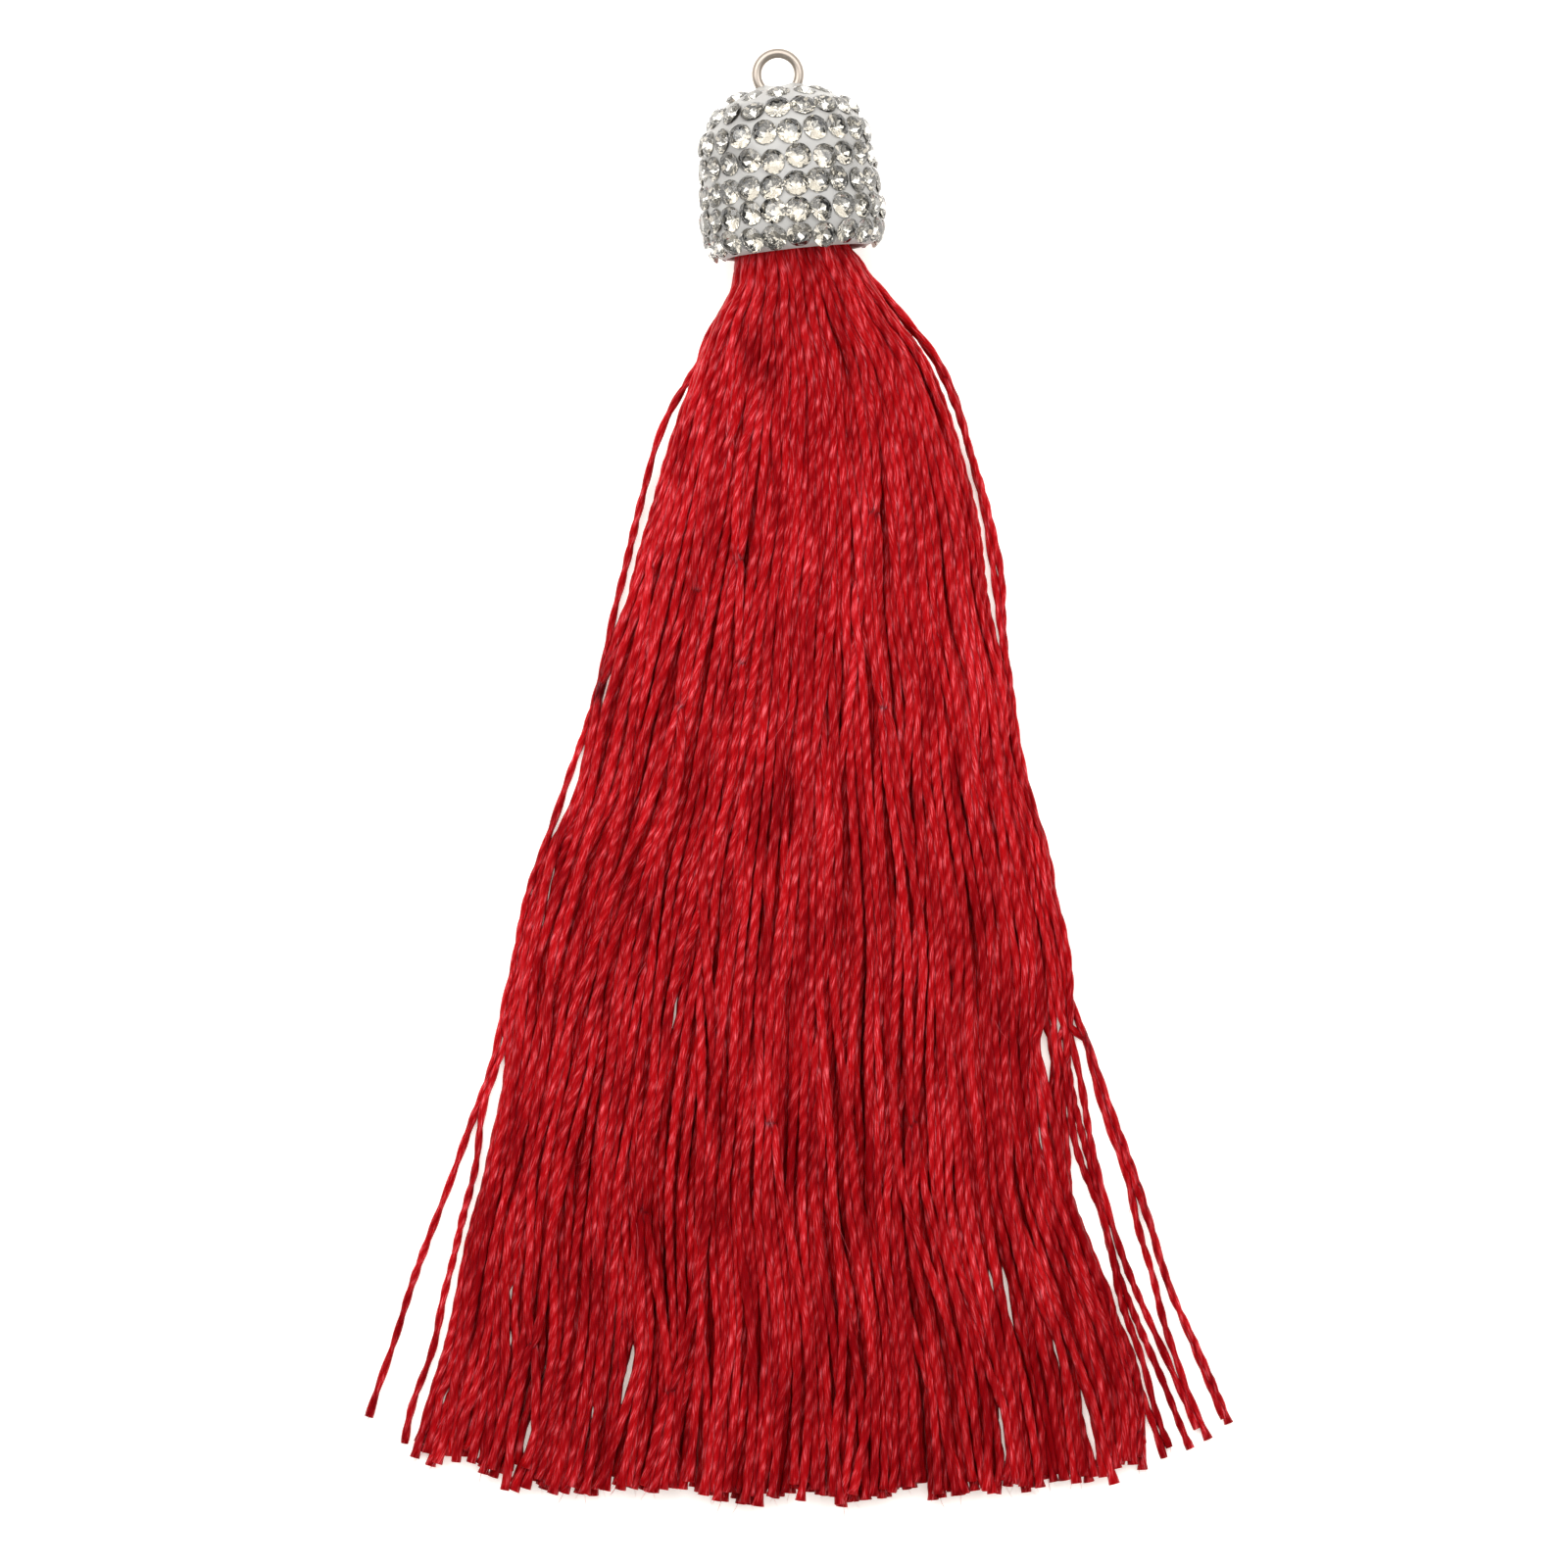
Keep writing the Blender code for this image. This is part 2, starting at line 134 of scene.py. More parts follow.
# The fan's own edges between those sections, which swing in and out a little, and the lines of the outermost
# stray thread on each side, where it has left the fan.
Edge = namedtuple("Edge", "down left right left_stray right_stray")
FAN_EDGES = (
    Edge(3.7, -4.5, 5.0, None, None),
    Edge(6.0, -4.7, 6.1, None, 5.9),
    Edge(8.6, -5.8, 7.7, None, 8.3),
    Edge(12.1, -7.2, 10.3, -7.1, 11.1),
    Edge(16.1, -8.6, 12.0, -9.4, 12.8),
    Edge(19.3, -9.6, 13.0, -10.8, 13.6),
    Edge(24.6, -11.1, 14.3, -12.4, 15.0),
    Edge(29.9, -12.6, 15.0, -13.3, 16.0),
    Edge(36.5, -14.6, 16.5, -14.4, 16.6),
    Edge(44.0, -16.4, 17.9, -16.1, 17.8),
    Edge(51.4, -19.4, 20.0, -19.4, 19.5),
    Edge(58.8, -21.2, 21.3, -21.2, 21.2),
    Edge(66.1, -21.9, 21.0, -23.6, 23.4),
    Edge(73.5, -23.4, 21.4, -26.4, 25.8),
    Edge(79.4, -24.8, 23.1, -28.2, 27.6),
    Edge(85.3, -26.0, 25.3, -29.7, 30.1),
    Edge(91.2, -27.7, 26.6, -31.2, 32.7),
    Edge(98.0, -29.5, 26.9, -33.2, 35.6),
)

# Slits where the threads part and the floor shows: the ends of each one's middle line, and its width.
Slit = namedtuple("Slit", "x_top down_top x_bottom down_bottom width")
SLITS = (
    Slit(-11.8, 85.7, -12.9, 90.9, 0.5),
    Slit(-19.6, 91.6, -20.2, 94.7, 0.42),
    Slit(-23.3, 93.7, -23.6, 94.9, 0.3),
    Slit(-27.7, 92.9, -28.2, 93.9, 0.3),
    Slit(-20.7, 81.5, -21.3, 83.1, 0.3),
    Slit(-21.1, 85.3, -21.5, 86.3, 0.25),
    Slit(-18.4, 87.0, -18.7, 88.1, 0.28),
    Slit(-26.1, 89.8, -26.4, 91.2, 0.28),
    Slit(-15.0, 91.0, -15.1, 92.0, 0.25),
    Slit(15.0, 80.2, 15.3, 82.4, 0.35),
    Slit(16.0, 79.8, 16.6, 85.1, 0.4),
    Slit(19.5, 85.2, 20.2, 88.3, 0.3),
    Slit(15.6, 90.5, 16.3, 95.7, 0.35),
    Slit(21.7, 89.4, 23.1, 95.3, 0.55),
    Slit(24.2, 85.5, 26.8, 92.7, 0.4),
    Slit(18.8, 62.3, 19.5, 66.1, 0.6),
    Slit(20.0, 61.7, 20.6, 65.2, 0.4),
    Slit(18.7, 69.8, 19.0, 71.4, 0.3),
    Slit(-22.5, 73.0, -23.0, 74.8, 0.3),
    Slit(-21.2, 66.1, -22.4, 70.8, 0.5),
    Slit(-8.1, 59.5, -8.6, 62.6, 0.3),
    Slit(-9.5, 69.8, -9.8, 71.1, 0.25),
    Slit(-13.4, 35.0, -14.5, 38.2, 0.4),
    Slit(-11.6, 26.4, -12.0, 27.8, 0.3),
    Slit(-17.2, 48.4, -18.3, 55.8, 0.15),
    Slit(17.8, 44.0, 18.7, 48.4, 0.35),
)

# The second settling, at close levels, with the threads' bends, crossings and slits.
FINE_STEP = 1.1
FINE_PASSES = 160
FINE_EASING = 2 * EASING
STIFFNESS = 0.2  # how strongly a thread straightens between its neighbouring levels
SPRING_UP = 0.15  # how far the top threads may rise above the solids' outline
SLIT_TAPER = 0.25  # the share of a slit's length over which it opens, at each end
CLOSEST = 0.48  # the threads flatten a little where they press on each other
WIDEST_GAP, GAP_CLOSED = 0.4, 0.6  # between the middles of two neighbours seen from above
FAR_OFF = 1000  # stands for no limit
EVENED_OVER = 4  # levels on each side
STRAY_ENOUGH = 0.3  # the share of the way to its first own section at which a stray leaves the fan
PAIR_OFFSET = 0.18  # the second right stray lies almost on the first
STRAY_LEAVES_EARLY = 1.0  # this far above the first place of its line

# The threads' bends: the length and height of each wave, the parts that are a thread's own and that it shares
# with its neighbours, how much the lengths differ, and how many shared waves lie across half the fan.
WAVES = ((52.0, 0.55), (27.0, 0.42), (13.0, 0.2), (7.5, 0.06))
OWN_PART, SHARED_PART = 0.6, 0.5
WAVE_STRETCH = (0.8, 1.25)
SHARED_ACROSS = 3
WAVES_FROM, WAVES_FULL = 8.0, 34.0  # how far down they begin, and reach their full height

# A few threads that lie across the others: how many, how long and how wide their drift is, and their lift.
WANDERERS = 30
WANDER_LENGTHS, WANDER_WIDTHS, WANDER_LIFT = (45, 80), (0.9, 2.0), 0.5

# The thread: two soft plies twisted together, one turn about every 3.8 mm.
TWIST_PITCH = 3.8
TWIST_VARIES = (0.75, 1.2)
# How many radians the twist runs ahead or behind, the share by which a thread is thicker here and thinner
# there, and how fast each of them changes along it.
TWIST_SLACK, SLACK_WAVES = 0.9, (0.25, 0.6)
PLUMPER, PLUMP_WAVES = 0.05, (0.5, 0.9)
RINGS_PER_TURN = 8
THREAD_SIDES = 8
THREAD_REACH = 0.295
FAN_GROOVE, STRAY_GROOVE = 0.235, 0.19  # how far from the middle the grooves between the plies are
PRESSED_FLAT, STRAY_FLAT = 1.15, 1.05  # how much wider a thread is than it is high, in the fan and alone
PRESSED_SIZE = 1.1  # threads in the fan share their loose filaments, so each looks this much thicker
ROOT_INSIDE, ROOT_RINGS = 1.6, 4
LEAN_LOST = 12.0  # the cap's lean shows in the roots, and is lost this far below them
END_SPREAD, END_SPREAD_LENGTH = 0.22, 1.2
THREADS_PER_PIECE = 44
TUFTS, TUFT_WIDTHS, TUFT_LENGTH = 60, (0.6, 1.9), 0.6  # of cut ends that share a length
THREAD_LONGEST = 101.0
BAKE_SIDE_GAP, BAKE_END_GAP = 0.08, 0.01  # shares left free round each thread's strip of the baked picture

# Single filaments that have worked loose: how many at the cut and along the threads, and how long.
CUT_FIBRES, CUT_FIBRE_LENGTHS = 150, (0.4, 1.3)
SIDE_FIBRES, SIDE_FIBRE_LENGTHS = 90, (1.2, 3.6)
FIBRE_RADIUS, FIBRE_RINGS, FIBRE_SIDES = 0.022, 7, 4
FIBRE_TAPER = 0.6
FIBRE_ASIDE, FIBRE_LIFT, FIBRE_CURL = 0.5, 0.35, 0.35
FIBRE_OFFSET, FIBRE_LOW, FIBRE_HIGH = 0.2, -0.1, 0.15  # where it starts, across a thread and up
FIBRES_FROM = 6  # none starts in the first sixth of a thread
FIBRE_REDS = ((0.35, "#9A121A"), (0.65, "#C4444C"))
FIBRE_SHADES = 0.8  # millimetres from a paler to a deeper place on it

# The thread's reds from the painted shade of its creases to the painted highlight of its crests, and the
# painted highlight dashes on its plies.
THREAD_REDS = ((0.0, "#720308"), (0.4, "#90060C"), (0.7, "#A00B11"), (1.0, "#B0181F"))
PAINTED_DASH_PINK = "#E26C74"
FILAMENT_TWIST = 0.8  # the share of the plies' twist that the filaments on them undo
STRANDS_ROUND, STRANDS_PER_MM = 20.0, 0.9  # strands of filaments 0.09 mm wide, broken about every millimetre
PAINTED_SHADE_SCALE = (0.65 / MM, 0.12 / MM, 0.65 / MM)  # painted shade and light: darker and paler patches about 1.5 mm wide and 8 mm long
RIDGE_PAINTED_LIGHT, STRAND_TONE_AND_SHEEN, THREAD_PALER = 0.12, 0.5, 0.12  # how much a crest (painted highlight), a strand (its paler filaments and in part painted sheen) and a thread's own tone pale it
NECK_DOWN, NECK_PAINTED_LIGHT, CUT_PAINTED_SHADE = 25, 0.03, -0.11  # painted light falloff: from this far down it gets deeper towards the cut
SHADE_LOW, SHADE_HIGH = 0.62, 1.18  # the sums of all these that give the deepest and the palest red
PAINTED_DASH_FROM, PAINTED_DASH_FULL = 0.48, 0.66  # how far a strand comes up where a painted highlight dash begins, and where it is full
# how strong the painted highlight dashes are, and how narrowly they keep to the crests
PAINTED_DASH_STRENGTH, PAINTED_DASH_NARROW = 0.95, 1.6
STRAND_HEIGHT = 0.5  # against a ply's height

# The stones' cut, as shares of a stone's radius, and how they sit.
EIGHTH = math.tau / 8
STONE_TABLE, STONE_STAR, STONE_LOWER = 0.54, 0.8, 0.24
STONE_CROWN, STONE_PAVILION = 0.27, 0.74  # heights in millimetres
STONE_TIP = 0.11  # about how far a stone leans in its seat, in radians
GIRDLE_WAVE = 0.06  # the widest edge dips this far between two main facets
STONE_PROUD = 0.07  # its widest part stands this far out of the clay
CUT_WIDTH = 1.97  # a stone at its widest
TOP_ROW_SUNK = 0.1  # the stones round the ring are pressed in this much deeper
NUDGE = 0.05  # to each side of a row, where the clay's slope is measured
STEEPEST = 0.3  # the least that a stone's face looks down where it is pressed in to lie flush

# The clay: its greys, the fineness of its mesh, the seat under each stone and the collar round the ring.
CLAY_GREYS = ((0.35, "#9C9A97"), (0.65, "#A8A6A2"))
CLAY_GRAIN, CLAY_CLOUD = 0.25, 3.0  # the size of its grain, and of its paler and darker clouds
CLAY_ROUND, CLAY_STEP = 320, 0.12
APEX_DEPTHS = [0.005, 0.02, 0.05, 0.1, 0.18, 0.28, 0.42]
EVEN_FROM = 0.6  # how far down the even steps of its mesh begin
LIP_DEPTH = RIM_DEPTH + 0.06  # the rounded lip between the outside and the mouth
LIP_OUTSIDE, LIP_INSIDE = 0.08, 0.1  # how far from each of them its rounding reaches
PRESSED_IN, SEAT_SLOPE = 0.75, 0.15
SEAT_RADIUS = 0.9 * SEAT_WIDTH / 2  # narrower than the stone, which hides its edge
COLLAR_RISE, COLLAR_WIDTH = 0.3, 0.55


def hex_colour(code):
    """An sRGB hex value as linear red, green, blue and alpha."""
    channels = [int(code[place:place + 2], 16) / 255 for place in (1, 3, 5)]
    linear = [value / 12.92 if value <= 0.04045 else ((value + 0.055) / 1.055) ** 2.4 for value in channels]
    return (*linear, 1.0)


def add_node(material, kind, settings=None, stops=(), **links):
    """One node with its settings and links, and the stops of a colour ramp as (place, hex colour).

    A link's name is an input, with _ for a space or input_ for a number.
    """
    tree = material.node_tree
    node = tree.nodes.new("ShaderNode" + kind)
    for name, value in (settings or {}).items():
        if isinstance(name, int) or name in node.inputs:
            node.inputs[name].default_value = value
        else:
            setattr(node, name, value)
    for _ in stops[2:]:
        node.color_ramp.elements.new(0.5)
    for number, (place, colour) in enumerate(stops):
        node.color_ramp.elements[number].position = place
        node.color_ramp.elements[number].color = hex_colour(colour)
    for name, source in links.items():
        socket = name.replace("_", " ")
        if name.startswith("input_"):
            socket = int(name[6:])
        tree.links.new(source, node.inputs[socket])
    return node


def new_material(name):
    """A material with no nodes yet."""
    material = bpy.data.materials.new(name)
    material.use_nodes = True
    material.node_tree.nodes.clear()
    return material


def finish_material(material, shader):
    """Gives a material its surface."""
    add_node(material, "OutputMaterial", Surface=shader.outputs["BSDF"])
    return material


def keep_above_surface(mesh_data):
    """Flattens what would reach under the surface that the tassel lies on."""
    places = np.empty(len(mesh_data.vertices) * 3, np.float32)
    mesh_data.vertices.foreach_get("co", places)
    places[2::3] = np.maximum(places[2::3], 0)
    mesh_data.vertices.foreach_set("co", places)


def put_in_scene(name, mesh_data, materials, replaced):
    """Makes a mesh a piece of the scene that rides on the part and stands for one of its nodes."""
    piece = bpy.data.objects.new(name, mesh_data)
    bpy.context.scene.collection.objects.link(piece)
    for material in materials:
        mesh_data.materials.append(material)
    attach(piece, BODY)
    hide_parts(replaced)


def corners(grid):
    """The four values round each face of a grid of rows and columns, a face a row."""
    return np.stack([grid[:-1, :-1], grid[:-1, 1:], grid[1:, 1:], grid[1:, :-1]], axis=-1).reshape(-1, 4)


def mesh_from(name, points, quads):
    """A smooth mesh from arrays of points in metres and of four corners a face."""
    mesh_data = bpy.data.meshes.new(name)
    mesh_data.vertices.add(len(points))
    mesh_data.vertices.foreach_set("co", np.asarray(points, np.float32).ravel())
    mesh_data.loops.add(quads.size)
    mesh_data.loops.foreach_set("vertex_index", np.asarray(quads, np.int32).ravel())
    mesh_data.polygons.add(len(quads))
    mesh_data.polygons.foreach_set("loop_start", np.arange(0, quads.size, 4, dtype=np.int32))
    mesh_data.polygons.foreach_set("use_smooth", np.full(len(quads), True))
    mesh_data.update(calc_edges=True)
    return mesh_data


# Camera and light.
def photo_place(px, py):
    """The place on the surface, in millimetres, under a pixel of the photograph."""
    return (px - ORIGIN_PX_X) * MM_PER_PX, (ORIGIN_PX_Y - py) * MM_PER_PX


def set_camera():
    """Straight above, as the photograph was taken, with a long lens."""
    across, along = photo_place(PHOTO_PX / 2, AIM_PX_Y)
    above = PHOTO_PX * MM_PER_PX * LENS / SENSOR + TRUE_SCALE_HEIGHT
    camera_data = bpy.data.cameras.new("camera")
    camera_data.lens = LENS
    camera_data.sensor_width = SENSOR
    camera_data.clip_start = 0.01
    camera = bpy.data.objects.new("camera", camera_data)
    camera.location = (across * MM, along * MM, above * MM)
    bpy.context.scene.collection.objects.link(camera)
    bpy.context.scene.camera = camera


# Each softbox: where its middle stands, how wide it is, and its power in watts.
Softbox = namedtuple("Softbox", "name x y z width power")
AIM_Y = -40.0
TENT_STRENGTH = 0.5
TABLE_GLOW, TABLE_SIZE = 0.4, 1.5
SOFTBOXES = (
    Softbox("back_box", -20, 200, 300, 410, 1.4),
    Softbox("left_box", -265, 95, 300, 330, 0.9),
    Softbox("right_box", 265, 90, 300, 330, 0.8),
    Softbox("front_box", 0, -330, 260, 300, 0.25),
)


def set_lights():
    """Four softboxes and a white tent round them, as for a catalogue picture."""
    for box in SOFTBOXES:
        light = bpy.data.lights.new(box.name, "AREA")
        light.shape = "SQUARE"
        light.size = box.width * MM
        light.energy = box.power
        lamp = bpy.data.objects.new(box.name, light)
        lamp.location = Vector((box.x, box.y, box.z)) * MM
        aim = Vector((0, AIM_Y * MM, 0)) - lamp.location
        lamp.rotation_euler = aim.to_track_quat("-Z", "Y").to_euler()
        bpy.context.scene.collection.objects.link(lamp)
    world = bpy.data.worlds.new("light_tent")
    world.use_nodes = True
    background = world.node_tree.nodes["Background"]
    background.inputs["Color"].default_value = (1, 1, 1, 1)
    background.inputs["Strength"].default_value = TENT_STRENGTH
    bpy.context.scene.world = world
    bpy.context.scene.view_settings.view_transform = "Standard"


def lay_floor():
    """White acrylic, evenly matt and lit faintly from below, so that the gaps between threads stay pale."""
    acrylic = new_material("white acrylic light table")
    shader = add_node(
        acrylic, "BsdfPrincipled",
        {"Base Color": hex_colour("#F4F3F1"), "Roughness": 0.9,
         "Emission Color": hex_colour("#FFF6EA"), "Emission Strength": TABLE_GLOW},
    )
    finish_material(acrylic, shader)
    outline = bmesh.new()
    bmesh.ops.create_grid(outline, x_segments=1, y_segments=1, size=TABLE_SIZE)
    mesh_data = bpy.data.meshes.new("light_table")
    outline.to_mesh(mesh_data)
    outline.free()
    mesh_data.materials.append(acrylic)
    floor = bpy.data.objects.new("light_table", mesh_data)
    floor.location.y = AIM_Y * MM
    bpy.context.scene.collection.objects.link(floor)


# The lay of the threads, as the solids' strands lie.
def sunflower(count):
    """Places spread evenly over a disc of radius 1, as a sunflower's seeds are."""
    seed = np.arange(count) + 0.5
    radius = np.sqrt(seed / count)
    angle = seed * math.pi * (3 - math.sqrt(5))
    return radius * np.cos(angle), radius * np.sin(angle)


def room(section, across):
    """The lowest and the highest that a thread's middle may lie at each place across a section."""
    radius = THREAD_WIDTH / 2
    swell = np.sqrt(1 - across**2)
    highest = section.edge + swell * (section.high - section.edge - radius)
    if section.low > 0:
        return section.edge - swell * (section.edge - section.low - radius), highest
    return np.full_like(highest, radius), np.maximum(highest, radius)


def first_guess(across, up, strays):
    """Each thread's place in each section, if the round head were pressed evenly into each outline."""
    places = np.empty((len(SECTIONS), len(across), 2))
    share = (up / np.sqrt(1 - across**2) + 1) / 2
    for row, section in enumerate(SECTIONS):
        in_fan = across[np.isnan(strays[row])]
        spread = np.interp(across, (in_fan.min(), in_fan.max()), (-1, 1))
        lowest, highest = room(section, spread)
        half = (section.right - section.left - THREAD_WIDTH) / 2
        places[row, :, 0] = (section.left + section.right) / 2 + spread * half
        places[row, :, 1] = lowest + share * (highest - lowest)
    return places


def keep_inside(places, strays):
    """Holds every thread inside its section's outline, above the surface, and each stray on its own line."""
    for row, section in enumerate(SECTIONS):
        middle = (section.left + section.right) / 2
        half = (section.right - section.left - THREAD_WIDTH) / 2
        across = (places[row, :, 0] - middle) / half
        if section.low > 0:
            lowest, highest = room(section, np.zeros_like(across))
            rise = places[row, :, 1] - section.edge
            tall = np.where(rise > 0, highest - section.edge, section.edge - lowest)
            outside = np.maximum(np.hypot(across, rise / tall), 1)
            across /= outside
            places[row, :, 1] = section.edge + rise / outside
        else:
            across = np.clip(across, -1, 1)
            places[row, :, 1] = np.clip(places[row, :, 1], *room(section, across))
        places[row, :, 0] = middle + across * half
        held = ~np.isnan(strays[row])
        places[row, held, 0] = strays[row, held]


def near_pairs(here):
    """The level and the two threads of each pair that lies near each other."""
    apart = here[:, :, None] - here[:, None]
    return np.nonzero(np.triu(np.square(apart).sum(axis=-1) < NEAR**2, 1))


def pushes(here, pairs, closest, noise):
    """How far each thread is pushed by those closer to it than the closest that two may lie."""
    level, one, other = pairs
    apart = here[level, one] - here[level, other]
    apart += noise.uniform(-JOG, JOG, apart.shape)
    distance = np.linalg.norm(apart, axis=1)
    push = apart * (np.clip(closest - distance, 0, None) / distance)[:, None]
    moved = np.zeros_like(here)
    np.add.at(moved, (level, one), push)
    np.add.at(moved, (level, other), -push)
    return moved


def settle(places, strays):
    """Moves threads apart wherever two come closer than a thread's width, at the sections and between."""
    noise = np.random.default_rng(3)
    above = np.minimum(LEVELS.astype(int), len(SECTIONS) - 2)
    share = (LEVELS - above)[:, None, None]
    for step in range(SETTLING_PASSES):
        here = places[above] * (1 - share) + places[above + 1] * share
        if step % PAIRS_KEPT == 0:
            pairs = near_pairs(here)
        moved = pushes(here, pairs, THREAD_WIDTH, noise)
        move = np.zeros_like(places)
        np.add.at(move, above, moved * (1 - share))
        np.add.at(move, above + 1, moved * share)
        places += EASING * move
        keep_inside(places, strays)
    return places


def tufts(across):
    """How much longer or shorter each cut end is, in little tufts of neighbours that share a length."""
    rng = np.random.default_rng(41)
    edges = np.cumsum(rng.uniform(*TUFT_WIDTHS, TUFTS)) - FAN_HALF_WIDTH - TUFT_WIDTHS[1]
    return rng.uniform(-TUFT_LENGTH, TUFT_LENGTH, TUFTS + 1)[np.searchsorted(edges, across)]


def thread_places():
    """Where each thread crosses each section, its cut end left at the last one, and the cut's depth."""
    across, up = sunflower(THREADS)
    order = np.argsort(across)
    strays = np.full((len(SECTIONS), THREADS), math.nan)
    rng = random.Random(11)
    wander = np.array([rng.uniform(-1, 1) for _ in range(THREADS)]) * CUT_WANDER
    ends = [(order[place], stray) for place, stray in enumerate(LEFT_STRAYS)]
    ends += [(order[-1 - place], stray) for place, stray in enumerate(RIGHT_STRAYS)]
    for thread, stray in ends:
        strays[2:, thread] = [math.nan if at is None else at for at in stray[:-1]]
    flat = settle(first_guess(across, up, strays), strays)
    cut = CUT_LOWEST - CUT_RISE * np.abs(flat[-1, :, 0] / FAN_HALF_WIDTH) ** CUT_CURVE + wander
    cut += tufts(flat[-1, :, 0])
    for thread, stray in ends:
        cut[thread] = stray.cut
    return flat, cut, strays, order


def smooth_curve(knots, values, at):
    """Values at places between the knots, on a curve with no overshoot. Each column is a curve of its own."""
    step = np.diff(knots)[:, None]
    slope = np.diff(values, axis=0) / step
    before, after = slope[:-1], slope[1:]
    harmonic = 2 * before * after / np.where(before + after == 0, 1, before + after)
    middle = np.where(before * after > 0, harmonic, 0)
    tangent = np.vstack([slope[:1], middle, slope[-1:]])
    low = np.clip(np.searchsorted(knots, at, side="right") - 1, 0, len(knots) - 2)
    width = step[low]
    t = (at - knots[low])[:, None] / width
    return (
        (1 + 2 * t) * (1 - t) ** 2 * values[low]
        + t * (1 - t) ** 2 * width * tangent[low]
        + t * t * (3 - 2 * t) * values[low + 1]
        + t * t * (t - 1) * width * tangent[low + 1]
    )


def own_bends(down, across):
    """How far each thread swings sideways and up at each level, in bends that neighbours partly share."""
    rng = np.random.default_rng(17)
    full = np.clip((down - WAVES_FROM) / (WAVES_FULL - WAVES_FROM), 0, 1)[:, None]
    sideways = np.zeros((len(down), THREADS))
    upward = np.zeros((len(down), THREADS))
    for length, height in WAVES:
        phase = rng.uniform(0, math.tau, (3, THREADS))
        stretch = rng.uniform(*WAVE_STRETCH, THREADS)
        turns = math.tau * down[:, None] / (length * stretch)
        shared = math.tau * (down[:, None] / length + across[None] * SHARED_ACROSS) + phase[2, 0]
        sideways += height * (OWN_PART * np.sin(turns + phase[0]) + SHARED_PART * np.sin(shared))
        upward += height * OWN_PART * np.sin(turns + phase[1])
    return sideways * full, upward * full


def wandering(down, height):
    """The slow drift of the few upper threads that lie across their neighbours."""
    rng = np.random.default_rng(37)
    upper = np.argsort(height)[-len(height) // 2:]
    chosen = rng.choice(upper, WANDERERS, replace=False)
    full = np.clip((down - WAVES_FROM) / (WAVES_FULL - WAVES_FROM), 0, 1)
    drift = np.zeros((len(down), len(height)))
    lift = np.zeros_like(drift)
    for thread in chosen:
        turns = math.tau * down / rng.uniform(*WANDER_LENGTHS) + rng.uniform(0, math.tau)
        drift[:, thread] = rng.uniform(*WANDER_WIDTHS) * np.sin(turns) * full
        lift[:, thread] = WANDER_LIFT * full
    return drift, lift


def slit_rooms(places, down, straying):
    """For each level that a slit crosses: the slit's middle, half its room, and each thread's side of it."""
    rooms = []
    for slit in SLITS:
        share = (down - slit.down_top) / (slit.down_bottom - slit.down_top)
        levels = np.nonzero((share > 0) & (share < 1))[0]
        middle = slit.x_top + share[levels] * (slit.x_bottom - slit.x_top)
        side = np.where((places[levels, :, 0] - middle[:, None]).mean(axis=0) < 0, -1, 1)
        taper = np.minimum(np.minimum(share[levels], 1 - share[levels]) / SLIT_TAPER, 1)
        half = (slit.width * taper + THREAD_WIDTH) / 2
        for level, here, reach in zip(levels, middle, half):
            rooms.append((level, here, reach, np.where(straying[level], 0, side)))
    return rooms


def open_slits(places, rooms):
    """Moves threads out of each slit, to the side that each one keeps to."""
    for level, middle, half, side in rooms:
        off = (places[level, :, 0] - middle) * side
        inside = (off < half) & (side != 0)
        places[level, inside, 0] = middle + side[inside] * half


def close_gaps(places, straying):
    """Draws together neighbours in the fan that leave a gap which no thread above or below them covers."""
    rows = np.arange(len(places))[:, None]
    order = np.argsort(places[:, :, 0] + straying * FAR_OFF, axis=1)
    sorted_x = places[rows, order, 0]
    in_fan = ~straying[rows, order[:, 1:]]
    closing = np.clip(np.diff(sorted_x, axis=1) - WIDEST_GAP, 0, GAP_CLOSED) * in_fan / 4
    sorted_x[:, :-1] += closing
    sorted_x[:, 1:] -= closing
    places[rows, order, 0] = sorted_x


def evened(values):
    """Values along the levels, each the mean of those round it, so that no step is left."""
    padded = np.pad(values, EVENED_OVER, mode="edge")
    window = 2 * EVENED_OVER + 1
    return np.convolve(padded, np.ones(window) / window, mode="valid")


def filled(x, straying, left, right):
    """The fan's threads spread evenly again, so that the outer ones lie at its edges."""
    nearest = evened(np.where(straying, FAR_OFF, x).min(axis=1))
    farthest = evened(np.where(straying, -FAR_OFF, x).max(axis=1))
    share = (x - nearest[:, None]) / (farthest - nearest)[:, None]
    spread = (left + THREAD_WIDTH / 2)[:, None] + share * (right - left - THREAD_WIDTH)[:, None]
    return np.where(straying, x, spread)


def outer_strays(x, straying, down, order, edges):
    """Sets the three outermost stray threads on the photo's lines, from where each leaves the fan."""
    for thread, column, inward in ((order[0], 3, 0), (order[-1], 4, 0), (order[-2], 4, PAIR_OFFSET)):
        away = ~np.isnan(edges[:, column])
        line = smooth_curve(edges[away, 0], edges[away, column:column + 1], down)[:, 0] - inward
        straying[:, thread] = down > edges[away, 0][0] - STRAY_LEAVES_EARLY
        x[straying[:, thread], thread] = line[straying[:, thread]]


def hold_in_fan(places, straying, fan, edge, high):
    """Holds the threads between the fan's edges, above the surface and under the bundle's rounded top."""
    radius = THREAD_WIDTH / 2
    left, right = fan
    half = ((right - left)[:, None] - THREAD_WIDTH) / 2
    middle = ((right + left) / 2)[:, None]
    across = np.clip((places[:, :, 0] - middle) / half, -1, 1)
    places[:, :, 0] = np.where(straying, places[:, :, 0], middle + across * half)
    swell = np.sqrt(1 - across**2)
    top = edge[:, None] + swell * (high - edge - radius)[:, None]
    places[:, :, 1] = np.clip(places[:, :, 1], radius, np.maximum(top, radius) + SPRING_UP)


